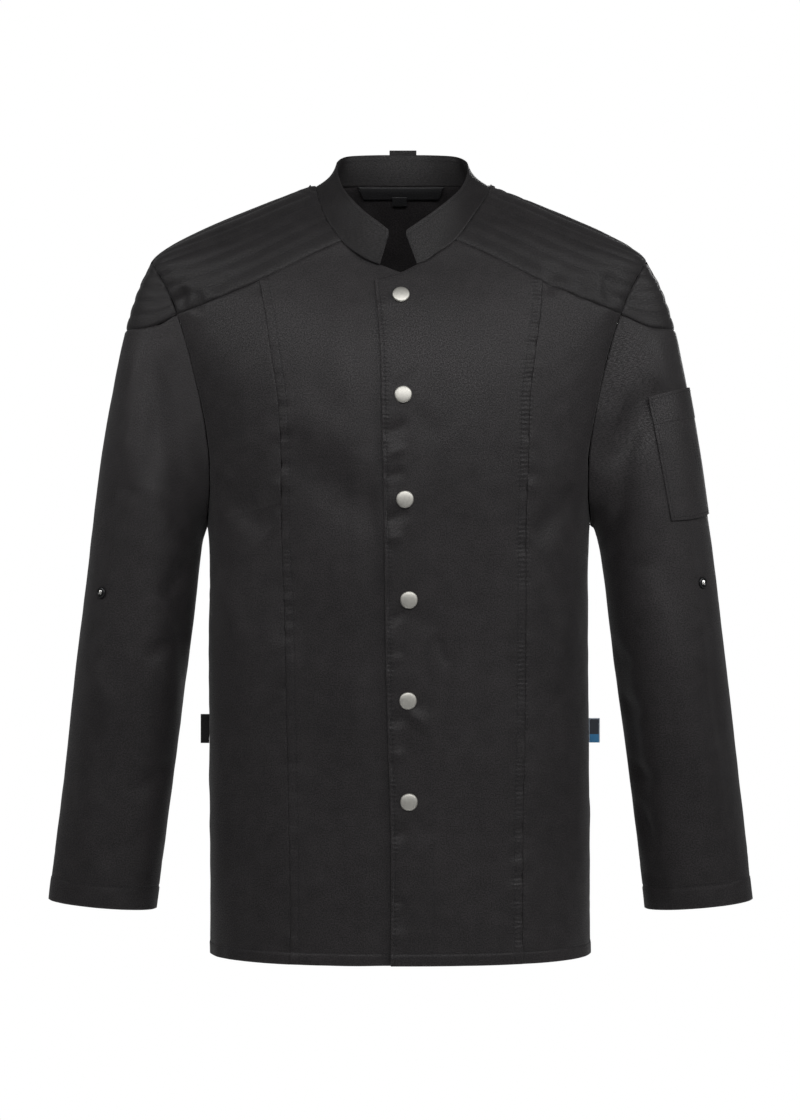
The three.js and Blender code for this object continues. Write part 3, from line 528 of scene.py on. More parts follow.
HEM_ROWS = (*EDGE_LOOPS, *stitch_loops(HEM_LINE))
PRINCESS_COLUMNS = (*EDGE_LOOPS, *stitch_loops(PRINCESS_LINE))


def spread(length, near_start=EDGE_LOOPS, near_end=EDGE_LOOPS, cell=FINE_CELL):
    """Shares of a length, about a cell apart, with extra ones at given distances from its two ends."""
    extra = np.array(sorted([*near_start, *(length - place for place in near_end)]))
    even = np.linspace(0, length, max(2, int(math.ceil(length / cell))) + 1)[1:-1]
    if len(extra):
        even = even[np.abs(even[:, None] - extra[None, :]).min(axis=1) > 0.45 * cell]
    return np.concatenate([[0], np.sort(np.concatenate([even, extra])), [length]]) / length


def panel_grid(face, across, top_line, columns, rows, drop=None):
    """A body panel from the hem to a top line, whose columns are spread by across(share, z)."""
    z = np.full(columns.shape, -100.0)
    for _ in range(80):
        z = 0.7 * z + 0.3 * top_line(across(columns, z))
    height = lerp(HEM_Z, z[None, :], rows[:, None])
    points = body_point(across(columns[None, :], height), height, face)
    if drop:
        points[..., 1] += drop(points[..., 0], points[..., 2])
    return Grid(points, points * (0, 0, 1) + (SLEEVE_CENTRE, 0, 0))


def coons_patch(bottom, top, left, right, u, v):
    """Fills the region between four lines of points."""
    u, v = u[None, :, None], v[:, None, None]
    ruled = lerp(bottom[None], top[None], v) + lerp(left[:, None], right[:, None], u)
    low, high = lerp(bottom[:1][None], bottom[-1:][None], u), lerp(top[:1][None], top[-1:][None], u)
    return ruled - lerp(low, high, v)


# Creases and relief


# Soft creases seen from one side, from one end to the other: x, z, x, z, width, height. They lie on
# whatever cloth is there, and a height below 0 is a trough.
CREASES = {
    "front": [
        (-120, -250, -5, -345, 26, -1.9),
        (-120, -215, -10, -300, 26, 1.5),
        (-1, -509, 30, -538, 5, 1.1),
        (34, -440, 44, -474, 5, -1.0),
        (10, -178, -2, -204, 7, -0.6),
        (12, -225, 40, -256, 11, -0.35),
        (10, -418, 32, -440, 9, -0.5),
        (10, -612, 30, -640, 9, -0.5),
        (12, -514, 30, -530, 7, 0.9),
        (-17, -254, 6, -236, 6, -1.3),
        (-17, -270, 6, -262, 5, 1.0),
        (-16, -292, 4, -283, 5, -1.0),
        (-15, -335, 6, -322, 6, -1.3),
        (-14, -352, 2, -346, 5, 0.9),
        (-13, -430, 6, -418, 6, -1.1),
        (-12, -470, 2, -462, 5, 0.9),
        (-11, -530, 8, -516, 7, -1.3),
        (-9, -560, 4, -556, 5, 0.9),
        (-9, -640, 6, -626, 6, -1.1),
        (-9, -700, 2, -694, 6, -0.9),
        (-9, -735, 4, -728, 5, 0.9),
        (-8, -200, 16, -176, 6, 0.7),
        (-70, -120, -40, -260, 22, 1.2),
        (70, -150, 52, -330, 24, 1.2),
        (84, -330, 60, -560, 24, -1.2),
        (-62, -360, -84, -600, 24, -1.2),
        (-176, -300, -130, -345, 14, -1.6),
        (174, -300, 128, -352, 14, -1.6),
        (-178, -380, -150, -470, 14, 1.4),
        (172, -400, 146, -500, 14, 1.4),
        (-214, -100, -217, -124, 6, -1.6),
        (-197, -106, -200, -130, 5, -1.3),
        (150, -78, 144, -112, 8, -1.6),
        (204, -84, 206, -122, 8, -1.5),
        (180, -92, 172, -118, 7, -0.8),
        (-170, -86, -178, -112, 7, -0.8),
        (-243.5, -106, -236.7, -145, 6, -2.4),
        (-226, -128, -232, -150, 5, -1.2),
        (-256, -150, -270, -300, 16, 2.2),
        (-228, -165, -248, -300, 14, -2.0),
        (-196, -352, -234, -412, 9, -2.2),
        (-206, -440, -252, -468, 10, -1.8),
        (-214, -566, -268, -600, 11, -1.6),
        (-300, -470, -282, -540, 12, 1.2),
        (-262, -640, -300, -668, 12, -0.9),
        (246, -142, 256, -205, 14, 1.8),
        (256, -196, 194, -286, 16, -3.0),
        (232, -378, 268, -608, 22, 2.4),
        (203, -452, 228, -480, 8, -2.0),
        (208, -500, 238, -524, 8, -2.0),
        (221, -568, 248, -592, 9, -2.0),
        (232, -606, 246, -656, 8, -2.2),
        (240, -676, 262, -700, 9, -1.4),
        (300, -470, 312, -560, 12, -1.2),
    ],
    "back": [
        (-150, -120, -60, -230, 18, -2.0),
        (148, -120, 64, -236, 18, -2.0),
        (-170, -300, -110, -400, 16, -1.8),
        (168, -306, 116, -410, 16, -1.8),
        (-30, -60, -22, -200, 26, 1.2),
        (-60, -420, -10, -470, 12, -1.4),
        (20, -520, 84, -556, 12, -1.2),
        (-236, -160, -262, -300, 15, 2.0),
        (236, -170, 262, -320, 15, 2.0),
        (-212, -350, -262, -392, 9, -2.4),
        (214, -356, 264, -404, 9, -2.4),
        (-222, -430, -280, -452, 9, -2.2),
        (226, -446, 286, -470, 9, -2.2),
        (-238, -540, -300, -575, 11, -1.8),
        (240, -556, 300, -590, 11, -1.8),
    ],
}


CREASE_DEPTH = 2.1


def crease_height(creases, x, z):
    total = np.zeros(np.broadcast(x, z).shape)
    for x0, z0, x1, z1, width, height in creases:
        length = math.hypot(x1 - x0, z1 - z0)
        along = ((x - x0) * (x1 - x0) + (z - z0) * (z1 - z0)) / length**2
        offset = ((x - x0) * (z1 - z0) - (z - z0) * (x1 - x0)) / length / width
        total += height * np.sin(np.pi * np.clip(along, 0, 1)) ** 0.8 * np.exp(-(offset**2))
    return total


def soft_noise(x, y, scale, seed):
    """A smooth uneven field from -1 to 1, whose bumps are about one scale across."""
    random = np.random.default_rng(seed)
    total = np.zeros(np.broadcast(x, y).shape)
    for _ in range(9):
        turn, phase = random.uniform(0, 2 * np.pi, 2)
        wave = scale * random.uniform(1.3, 3)
        total += np.sin((x * np.cos(turn) + y * np.sin(turn)) * 2 * np.pi / wave + phase)
    return total / 4.5


def drape(grid, seed):
    """The creases of the cloth, and a slight unevenness everywhere."""
    x, z = grid.points[..., 0], grid.points[..., 2]
    facing = grid.normals[..., 1]
    grid.height += CREASE_DEPTH * crease_height(CREASES["front"], x, z) * ease(-1.6 * facing)
    grid.height += CREASE_DEPTH * crease_height(CREASES["back"], x, z) * ease(1.6 * facing)
    round_x = x + 60 * facing
    wide, narrow = soft_noise(round_x, z * 0.6, 46.0, seed), soft_noise(round_x, z, 17.0, seed + 1)
    grid.height += 0.45 * wide + 0.14 * narrow


def press_edge(grid, edge, depth=0.7, width=1.0):
    """An edge that turns down into a seam, except at its two ends."""
    ends = (grid.bottom, grid.top) if edge in ("left", "right") else (grid.left, grid.right)
    inside = 1.0 if grid.loop else ease((np.minimum(*ends) - 1.5) / 6)
    grid.height -= depth * inside * np.exp(-((getattr(grid, edge) / width) ** 2))


def pucker_edge(grid, edge, seed, depth=0.4, scale=9.0, reach=9.0):
    away = getattr(grid, edge)
    along = grid.bottom if edge in ("left", "right") else grid.left
    strength = 0.6 + 0.5 * soft_noise(along, 0 * along, 70.0, seed + 1)
    uneven = soft_noise(along, away * 0.3, scale, seed) * strength
    grid.height += 1.6 * depth * uneven * np.exp(-((away / reach) ** 2))


def ladder(grid, edge, distance, reach, amount=1.0):
    """Where the cloth is drawn into short ripples across a row of stitches, which the cloth material bumps
    and also darkens in stripes as painted shade.
    """
    ripple_and_shade = amount * np.exp(-(((getattr(grid, edge) - distance) / reach) ** 2))
    grid.pucker_and_shade = np.maximum(grid.pucker_and_shade, ripple_and_shade)


def sink_line(grid, edge, distance, depth=0.3, width=0.7):
    """The groove that a row of stitches pulls into the cloth."""
    grid.height -= depth * np.exp(-(((getattr(grid, edge) - distance) / width) ** 2))


def thicken(grid, edge, distance, amount):
    grid.height += amount * (1 - ease((getattr(grid, edge) - distance + 1.5) / 2.5))


# Lightens the colour along an edge: partly rubbed wear, partly a painted highlight where the rounded edge
# catches the light.
def paint_edge_wear_and_highlight(grid, edge, amount=1.0, width=1.1):
    grid.wear_and_edge_highlight = np.maximum(grid.wear_and_edge_highlight, amount * np.exp(-((getattr(grid, edge) / width) ** 2)))


def hem(grid, edge, line, seed, amount=0.6):
    thicken(grid, edge, line, amount)
    sink_line(grid, edge, line)
    pucker_edge(grid, edge, seed, depth=0.35, scale=12.0, reach=15.0)
    paint_edge_wear_and_highlight(grid, edge, 0.3)


def quilt(grid, distance, pitch=15.0, depth=0.5):
    """Padding between rows of stitches, by the distance from the first row."""
    from_row = np.abs((distance + pitch / 2) % pitch - pitch / 2)
    grid.height -= depth * np.exp(-((from_row / 1.5) ** 2)) + depth * (1 - ease(from_row / 6.5))


# The panels of the body


def princess(side, z):
    return PRINCESS.read("left" if side < 0 else "right", z)


def placket_edge(z):
    return PLACKET_EDGE.read("x", z)


def lap_drop(x, z):
    """How far the front that laps under lies behind the surface."""
    return LAP_DROP * ease((x - placket_edge(z) + LAP_EASE + LAP_LEAD) / LAP_EASE)


def front_top(side):
    neck = Table(("x", "z"), NECKLINE[side], "x")

    def top(x):
        yoke = FRONT_YOKE_SEAM.read("z", np.abs(x - YOKE_CENTRE))
        return np.minimum(yoke, neck.read("z", x)) - SEAM_GAP

    return top


def back_top(x):
    yoke = BACK_YOKE_SEAM.read("z", np.abs(x - YOKE_CENTRE))
    return np.minimum(yoke, NECK_BACK.read("z", np.abs(x))) - SEAM_GAP


def side_front_grid(side):
    def across(share, z):
        held = np.minimum(z, ARMHOLE_MEETS_YOKE)
        seam = princess(side, held) + side * SEAM_GAP
        angle = lerp(body_angle(seam, held), side_angle(side, held) - side * SIDE_GAP_ANGLE, share)
        return body_x(angle, held) + (princess(side, z) - princess(side, held)) * (1 - share)

    columns = spread(150, (*EDGE_LOOPS, *stitch_loops(8)), EDGE_LOOPS, FRONT_CELL)
    rows = spread(640, HEM_ROWS, EDGE_LOOPS, FRONT_CELL)
    return panel_grid("front", across, front_top(side), columns, rows)


def right_centre_grid():
    def across(share, z):
        return lerp(placket_edge(z), princess(1, z) - SEAM_GAP, share)

    near_edge = (*EDGE_LOOPS, *stitch_loops(PLACKET_TOPSTITCH), *stitch_loops(PLACKET_LINE))
    columns = spread(136, near_edge, PRINCESS_COLUMNS, FRONT_CELL)
    rows = spread(665, HEM_ROWS, EDGE_LOOPS, FRONT_CELL)
    return panel_grid("front", across, front_top(1), columns, rows)


def left_centre_grid():
    def across(share, z):
        return lerp(princess(-1, z) + SEAM_GAP, placket_edge(z) + LAP, share)

    columns = spread(142, PRINCESS_COLUMNS, (), FRONT_CELL)
    rows = spread(665, HEM_ROWS, EDGE_LOOPS, FRONT_CELL)
    return panel_grid("front", across, front_top(-1), columns, rows, lap_drop)


def back_grid():
    def across(share, z):
        held = np.minimum(z, ARMHOLE_MEETS_YOKE)
        left = side_angle(-1, held) + SIDE_GAP_ANGLE
        right = side_angle(1, held) - SIDE_GAP_ANGLE
        return body_x(lerp(left, right, share), held)

    columns = spread(470, EDGE_LOOPS, EDGE_LOOPS, BACK_CELL)
    rows = spread(700, HEM_ROWS, EDGE_LOOPS, BACK_CELL)
    return panel_grid("back", across, back_top, columns, rows)


# The yokes, which run over the shoulders from the front seam to the back one


def flat_points(x, z):
    return np.stack(np.broadcast_arrays(x, z), axis=-1).astype(float)


def yoke_half(side, face, columns, rows):
    """From the seam up to the ridge of the shoulder."""
    seam = {"front": FRONT_YOKE_SEAM, "back": BACK_YOKE_SEAM}[face]

    def neck_edge(ring):
        x = COLLAR.read("skew", ring) + side * COLLAR.read("x", ring)
        return flat_points(x, COLLAR.read("z", ring))

    def seam_height(x):
        return seam.read("z", np.abs(x - YOKE_CENTRE)) + SEAM_GAP

    def is_past_seam(ring):
        x, z = neck_edge(ring)
        return z < seam_height(x)

    far_ring = {"front": 2.0, "back": 10.0}[face]
    corner_ring = bisect(is_past_seam, np.array(far_ring), np.array(float(SHOULDER_RING)))
    down = 1 - (1 - rows) ** 2
    neck = neck_edge(lerp(corner_ring, float(SHOULDER_RING), down))
    arm_z = lerp(seam_height(armhole_x(side, ARMHOLE_MEETS_YOKE)), ARMHOLE_TOP, down)
    arm = flat_points(armhole_x(side, arm_z) - side * SEAM_GAP, arm_z)
    seam_x = lerp(neck[0, 0], arm[0, 0], columns)
    ridge_x = lerp(neck[-1, 0], arm[-1, 0], columns)
    reach = side * (ridge_x - SLEEVE_CENTRE * columns)
    ridge_z = np.minimum(ridge_height(reach), neck[-1, 1])
    seam_line, ridge_line = flat_points(seam_x, seam_height(seam_x)), flat_points(ridge_x, ridge_z)
    flat = coons_patch(seam_line, ridge_line, neck, arm, columns, down)
    points = body_point(flat[..., 0], flat[..., 1], face)
    near_neck = 1 - ease((np.abs(flat[..., 0]) - 87) / 14)
    points[..., 1] *= lerp(1, np.clip((1 - rows[:, None]) * 5, 0, 1), near_neck)
    points[-1, :, 1] = 0
    return points


def yoke_grid(side):
    columns = spread(178, EDGE_LOOPS, EDGE_LOOPS, FINE_CELL)
    rows = spread(96, EDGE_LOOPS, (), FINE_CELL)
    front = yoke_half(side, "front", columns, rows)
    back = yoke_half(side, "back", columns, rows)
    points = np.concatenate([front, back[-2::-1]])
    return Grid(points, points * (0.8, 0, 1) + (0, 0, -60))


# The sleeves, their quilted caps and the pocket


def ring_where(side, angle, line, low=0.0, high=float(CUFF_RING)):
    """The ring at which the sleeve comes down to a line, given as a height for each x."""

    def is_above(ring):
        point = sleeve_point(side, ring, angle)
        return point[..., 2] > line(point[..., 0])

    return bisect(is_above, np.full(np.shape(angle), low), np.full(np.shape(angle), high))


def cap_height(side):
    return lambda x: CAP_SEAM.read("z", side * (x - SLEEVE_CENTRE))


def sleeve_inside(side, ring):
    return mirrored(ring_middle(ring), side, ring)


def sleeve_grid(side):
    columns = spread(390, (), (), SLEEVE_CELL)
    angle = 360 * columns + 180
    start = ring_where(side, angle, cap_height(side))
    start = np.where((angle % 360 > 62) & (angle % 360 < 298), 0, start) + 0.006
    near_cuff = (*EDGE_LOOPS, *stitch_loops(CUFF_LINE))
    rows = spread(600, near_cuff, EDGE_LOOPS, SLEEVE_CELL)
    ring = lerp(float(CUFF_RING), start[None, :], rows[:, None])
    points = sleeve_point(side, ring, angle[None, :])
    return Grid(points, sleeve_inside(side, ring), loop=True)


def sleeve_cap_grid(side):
    edge = bisect(lambda a: ring_where(side, a, cap_height(side)) > 0.02, np.array(30.0), np.array(75.0))
    angle = lerp(-edge, edge, spread(150, EDGE_LOOPS, EDGE_LOOPS, FINE_CELL))
    end = ring_where(side, angle, cap_height(side)) - 0.006
    rows = spread(68, EDGE_LOOPS, EDGE_LOOPS, FINE_CELL)
    ring = np.maximum(lerp(end[None, :], 0.006, rows[:, None]), 0.004)
    points = sleeve_point(side, ring, angle[None, :])
    return Grid(points, sleeve_inside(side, ring))


def line_of(points):
    table = Table(("x", "z"), points, "x")
    return lambda x: table.read("z", x)


def pocket_grid(top, bottom, lift):
    """The part of the pocket between two lines, from its sewn front edge round to the back of the arm."""
    edge = Table(("z", "x"), POCKET_EDGE, "z")
    rows = spread(95, EDGE_LOOPS, EDGE_LOOPS, FINE_CELL)
    columns = spread(110, (*EDGE_LOOPS, *stitch_loops(3)), EDGE_LOOPS, FINE_CELL)

    def place(angle, row):
        low = ring_where(1, angle, line_of(bottom), 1.0, 7.0)
        high = ring_where(1, angle, line_of(top), 1.0, 7.0)
        return sleeve_point(1, lerp(low, high, row), angle)

    def is_outside(angle):
        point = place(angle, rows)
        return point[..., 0] > edge.read("x", point[..., 2])

    start = bisect(is_outside, np.full(rows.shape, -20.0), np.full(rows.shape, 96.0))
    angle = lerp(start[:, None], POCKET_BACK_ANGLE, columns[None, :])
    points = place(angle, rows[:, None])
    grid = Grid(points, sleeve_inside(1, np.full(angle.shape, 4.0)) * (1, 1, 0) + points * (0, 0, 1))
    grid.lift += lift
    return grid


# The collar


def collar_grid():
    foot_y = []
    for x, skew, share, z in zip(*(COLLAR.columns[name] for name in ("x", "skew", "y_share", "z"))):
        face = "front" if share < 0 else "back"
        foot_y.append(share * section_depth(skew + x, z, face))
    foot_y = np.array(foot_y)
    columns = spread(390, (*EDGE_LOOPS, *COLLAR_LOOPS), (*EDGE_LOOPS, *COLLAR_LOOPS), FINE_CELL)
    rows = spread(34, (), (*EDGE_LOOPS, *COLLAR_LOOPS), FINE_CELL)
    side = np.where(columns < 0.5, -1, 1)
    ring = (len(foot_y) - 1) * (1 - np.abs(2 * columns - 1))

    def read(name):
        return COLLAR.read(name, ring)

    y = smooth_curve(COLLAR.place, foot_y, ring)
    low = points_of(read("skew") + side * read("x"), y, read("z"))
    high = points_of(read("top_skew") + side * read("top_x"), read("top_y"), read("top_z"))
    from_end = 390 * np.minimum(columns, 1 - columns) / COLLAR_CORNER
    rounding = COLLAR_CORNER * (1 - np.sqrt(1 - (1 - np.clip(from_end, 0, 1)) ** 2)) / 34
    v = (rows[:, None] * (1 - rounding[None, :]))[..., None]
    inward = unit(low * (-1, -1, 0))
    bow = (read("bow")[None, :] * np.sin(np.pi * v[..., 0]))[..., None]
    points = lerp(low[None], high[None], v) + inward[None] * bow
    return Grid(points, points * (0, 0, 1))


def loop_grid():
    """The hanging loop: a strap folded over at the top."""
    bottom, top, half, radius = 12.0, 46.4, 13.5, 1.1
    turn = np.linspace(0, np.pi, 13)
    front = [(-radius, z) for z in np.linspace(bottom, top - radius, 14)]
    over = [(-radius * math.cos(a), top - radius + radius * math.sin(a)) for a in turn[1:-1]]
    back = [(radius, z) for z in np.linspace(top - radius, bottom, 14)]
    path = np.array(front + over + back)
    x = 2 + half * (2 * spread(27, EDGE_LOOPS, EDGE_LOOPS, FINE_CELL) - 1)
    y = 52.4 + path[:, 0] - (path[:, 1] - bottom) * 0.052
    points = points_of(x[None, :], y[:, None], path[:, 1][:, None])
    middle = points_of(x[None, :], (52.4 - (path[:, 1] - bottom) * 0.052)[:, None], path[:, 1][:, None])
    return Grid(points, middle - (0, 0, 0.3))


# Meshes


def add_mesh(name, points, faces, material, corners=None, facts=None):
    """A smooth mesh. Corners are the cloth's flat coordinates, in metres, for each corner of each face, and
    facts are its named values at each point."""
    mesh = bpy.data.meshes.new(name)
    mesh.from_pydata((np.asarray(points) * MM).tolist(), [], [list(face) for face in faces])
    if corners is not None:
        layer = mesh.uv_layers.new(name="cloth")
        layer.data.foreach_set("uv", corners.astype(np.float32).ravel())
    for word, values in (facts or {}).items():
        mesh.attributes.new(word, "FLOAT", "POINT").data.foreach_set("value", values.astype(np.float32))
    mesh.shade_smooth()
    mesh.materials.append(material)
    piece = bpy.data.objects.new(name, mesh)
    bpy.context.scene.collection.objects.link(piece)
    return piece


def add_cloth(name, grid, material, thickness=CLOTH_WALL, bulge=None):
    """A thin closed shell whose outer side is the grid. Bulge rounds the free edges outwards."""
    count = grid.left.size
    index = np.arange(count).reshape(grid.left.shape)
    outer = grid.outer()
    inner = grid.points + grid.normals * (grid.lift + 0.6 * grid.height - thickness)[..., None]
    away, reach = np.zeros_like(outer), np.zeros(grid.left.shape)
    bulge = bulge or {}
    edges = {"bottom": (np.s_[0], np.s_[1]), "top": (np.s_[-1], np.s_[-2])}
    if not grid.loop:
        edges |= {"left": (np.s_[:, 0], np.s_[:, 1]), "right": (np.s_[:, -1], np.s_[:, -2])}
    for edge, (place, inside) in edges.items():
        away[place] += unit(outer[place] - outer[inside])
        reach[place] = np.maximum(reach[place], bulge.get(edge, 0))
    rim = (outer + inner) / 2 + unit(away) * reach[..., None]

    if grid.loop:
        loops = [index[0, :-1], index[-1, -2::-1]]
    else:
        loops = [np.concatenate([index[0, :-1], index[:-1, -1], index[-1, :0:-1], index[:0:-1, 0]])]
    quads = [index[:-1, :-1], index[:-1, 1:], index[1:, 1:], index[1:, :-1]]
    quads = np.stack(quads, axis=-1).reshape(-1, 4)
    faces = [quads, quads[:, ::-1] + count]
    for loop in loops:
        after = np.roll(loop, -1)
        faces.append(np.stack([loop, loop + 2 * count, after + 2 * count, after], axis=-1))
        faces.append(np.stack([loop + 2 * count, loop + count, after + count, after + 2 * count], axis=-1))
    faces = np.concatenate(faces)

    welded = index.copy()
    if grid.loop:
        welded[:, -1] = index[:, 0]
    welded = np.concatenate([welded.ravel() + layer * count for layer in range(3)])
    used, joined = np.unique(welded[faces], return_inverse=True)
    points = np.concatenate([layer.reshape(-1, 3) for layer in (outer, inner, rim)])[used]
    flat = np.tile(np.stack([grid.left, grid.bottom], axis=-1).reshape(-1, 2) * MM, (3, 1))
    facts = {
        "wear_and_edge_highlight": np.concatenate([grid.wear_and_edge_highlight.ravel(), np.zeros(count), grid.wear_and_edge_highlight.ravel()])[used],
        "pucker_and_shade": np.tile(grid.pucker_and_shade.ravel(), 3)[used],
    }
    return add_mesh(name, points, joined.reshape(-1, 4), material, flat[faces].reshape(-1, 2), facts)


STITCH_SIDES = 5


def point_at(distance, travelled, line):
    return np.array([np.interp(distance, travelled, line[:, k]) for k in range(3)])


def add_stitches(name, lines, material, pitch=3.1, length=2.2, radius=0.24):
    """Rows of short threads that lie on the cloth, along lines of points and normals."""
    points, faces = [], []
    turn = np.linspace(0, 2 * np.pi, STITCH_SIDES, endpoint=False)
    for line, normals in lines:
        travelled = np.pad(np.cumsum(np.linalg.norm(np.diff(line, axis=0), axis=-1)), (1, 0))
        for start in np.arange(pitch, travelled[-1] - pitch, pitch):
            first, last = (point_at(start + step, travelled, line) for step in (0, length))
            normal = unit(point_at(start, travelled, normals))
            along = last - first
            across = unit(np.cross(normal, along))
            ring = radius * (np.cos(turn)[:, None] * across + np.sin(turn)[:, None] * normal)
            base = len(points)
            low, high = first + 0.2 * along + 0.1 * normal, last - 0.2 * along + 0.1 * normal
            points += [first, *(low + ring), *(high + ring), last]
            for k in range(STITCH_SIDES):
                a, b = base + 1 + k, base + 1 + (k + 1) % STITCH_SIDES
                faces += [(base, b, a), (a, b, b + STITCH_SIDES, a + STITCH_SIDES)]
                faces.append((base + 2 * STITCH_SIDES + 1, a + STITCH_SIDES, b + STITCH_SIDES))
    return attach(add_mesh(name, points, faces, material), "root")


def add_turned(name, profile, place, normal, material, steps=48):
    """A form turned about a line through a place, from points of radius and height, centre to centre."""
    turn = np.linspace(0, 2 * np.pi, steps, endpoint=False)
    rings = [points_of(r * np.cos(turn), r * np.sin(turn), h) for r, h in profile[1:-1]]
    points = np.concatenate([[(0, 0, profile[0][1])], *rings, [(0, 0, profile[-1][1])]])
    faces = []
    last = len(points) - 1
    for k in range(steps):
        following = (k + 1) % steps
        faces.append((0, 1 + following, 1 + k))
        for row in range(len(rings) - 1):
            a, b = 1 + row * steps + k, 1 + row * steps + following
            faces.append((a, b, b + steps, a + steps))
        faces.append((last, last - steps + k, last - steps + following))
    turned = np.array(Vector((0, 0, 1)).rotation_difference(Vector(normal)).to_matrix())
    return add_mesh(name, points @ turned.T + place, faces, material)


# Materials


def new_material(name):
    material = bpy.data.materials.new(name)
    material.use_nodes = True
    return material, material.node_tree, material.node_tree.nodes["Principled BSDF"]


def add_node(tree, kind, inputs=None, **settings):
    node = tree.nodes.new(kind)
    for key, value in settings.items():
        setattr(node, key, value)
    for key, value in (inputs or {}).items():
        if isinstance(value, bpy.types.NodeSocket):
            tree.links.new(value, node.inputs[key])
        else:
            node.inputs[key].default_value = value
    return node


def noise(tree, scale, detail=3.0, vector=None):
    vector = vector or add_node(tree, "ShaderNodeTexCoord").outputs["Object"]
    inputs = {"Vector": vector, "Scale": scale, "Detail": detail}
    return add_node(tree, "ShaderNodeTexNoise", inputs).outputs["Fac"]


def between(tree, factor, low, high, source=(0.0, 1.0)):
    inputs = {"Value": factor, "From Min": source[0], "From Max": source[1], "To Min": low, "To Max": high}
    return add_node(tree, "ShaderNodeMapRange", inputs).outputs["Result"]


def math_node(tree, operation, a, b):
    return add_node(tree, "ShaderNodeMath", {0: a, 1: b}, operation=operation).outputs[0]


def plus(tree, a, b):
    return math_node(tree, "ADD", a, b)


def times(tree, a, b):
    return math_node(tree, "MULTIPLY", a, b)


def waves(tree, vector, scale, distortion=0.6):
    inputs = {"Vector": vector, "Scale": scale, "Distortion": distortion, "Detail": 1.0, "Detail Scale": 1.5}
    return add_node(tree, "ShaderNodeTexWave", inputs, wave_profile="SIN").outputs["Fac"]


# A wave texture of scale 0.314 over a length repeats once in that length
ONE_WAVE = 0.314


def cloth_material(name, dark, light, twill=0.95, bump=0.5, sheen=0.08, roughness=(0.48, 0.6)):
    """Woven cloth: diagonal ribs about a millimetre apart, finer threads, lint and uneven dye."""
    material, tree, shader = new_material(name)
    flat = add_node(tree, "ShaderNodeUVMap", uv_map="cloth").outputs["UV"]
    turned = add_node(tree, "ShaderNodeMapping", {"Vector": flat, "Rotation": (0, 0, math.radians(52))})
    ribs = waves(tree, turned.outputs["Vector"], ONE_WAVE / (twill * MM))
    threads = between(tree, noise(tree, 760.0, 2.0, flat), 0.0, 1.0, (0.36, 0.64))
    cloud = noise(tree, 9.0, 4.0)
    mottle = noise(tree, 70.0, 5.0)
    tone = plus(tree, times(tree, cloud, 0.5), times(tree, mottle, 0.5))
    speckled = plus(tree, tone, between(tree, threads, -0.36, 0.36))
    ribbed = plus(tree, speckled, between(tree, ribs, -0.14, 0.1))
    wear_and_edge_highlight = add_node(tree, "ShaderNodeAttribute", attribute_name="wear_and_edge_highlight").outputs["Fac"]
    pucker_and_shade = add_node(tree, "ShaderNodeAttribute", attribute_name="pucker_and_shade").outputs["Fac"]
    crosswise = add_node(tree, "ShaderNodeMapping", {"Vector": flat, "Rotation": (0, 0, math.radians(90))})
    rungs = waves(tree, crosswise.outputs["Vector"], ONE_WAVE / (4.6 * MM), 2.0)
    patchy = between(tree, noise(tree, 26.0, 2.0), 0.25, 1.0, (0.42, 0.58))
    ripples = times(tree, times(tree, pucker_and_shade, rungs), patchy)
    # The ripples also darken the base colour in stripes across the rows of stitches: painted shade of the
    # ripples.
    ripple_and_shade = plus(tree, ribbed, times(tree, ripples, -0.16))
    # The edges are lightened here, partly for wear and partly as a painted highlight.
    lit = plus(tree, ripple_and_shade, times(tree, wear_and_edge_highlight, 0.7))
    ramp = add_node(tree, "ShaderNodeValToRGB", {"Fac": lit})
    ramp.color_ramp.elements[0].position = 0.18
    ramp.color_ramp.elements[0].color = (*dark, 1)
    ramp.color_ramp.elements[1].color = (*light, 1)
    tree.links.new(ramp.outputs["Color"], shader.inputs["Base Color"])
    gloss = plus(tree, between(tree, mottle, *roughness), between(tree, threads, 0.12, -0.12))
    tree.links.new(gloss, shader.inputs["Roughness"])
    shader.inputs["Specular IOR Level"].default_value = 0.2
    shader.inputs["Sheen Weight"].default_value = sheen
    shader.inputs["Sheen Roughness"].default_value = 0.45
    relief = plus(tree, times(tree, ribs, 0.6), times(tree, threads, 0.7))
    fine = add_node(tree, "ShaderNodeBump", {"Strength": bump, "Distance": 0.00016, "Height": relief})
    waviness = noise(tree, 32.0, 3.0)
    uneven = {"Strength": 0.3, "Distance": 0.0016, "Height": waviness, "Normal": fine.outputs["Normal"]}
    soft = add_node(tree, "ShaderNodeBump", uneven)
    drawn_in = {"Strength": 0.5, "Distance": 0.0007, "Height": ripples, "Normal": soft.outputs["Normal"]}
    rippled = add_node(tree, "ShaderNodeBump", drawn_in)
    tree.links.new(rippled.outputs["Normal"], shader.inputs["Normal"])
    return material


def metal_material(name, base, roughness, pitted=0.25):
    """Worn plated metal with faint mottling."""
    material, tree, shader = new_material(name)
    mottle = noise(tree, 420.0, 4.0)
    scratches = noise(tree, 1500.0, 3.0)
    shade = between(tree, mottle, 0.82, 1.12)
    tint = add_node(tree, "ShaderNodeVectorMath", {0: base, "Scale": shade}, operation="SCALE")
    tree.links.new(tint.outputs["Vector"], shader.inputs["Base Color"])
    tree.links.new(between(tree, scratches, *roughness), shader.inputs["Roughness"])
    shader.inputs["Metallic"].default_value = 1.0
    bump = add_node(tree, "ShaderNodeBump", {"Strength": pitted, "Distance": 0.00012, "Height": mottle})
    tree.links.new(bump.outputs["Normal"], shader.inputs["Normal"])
    return material


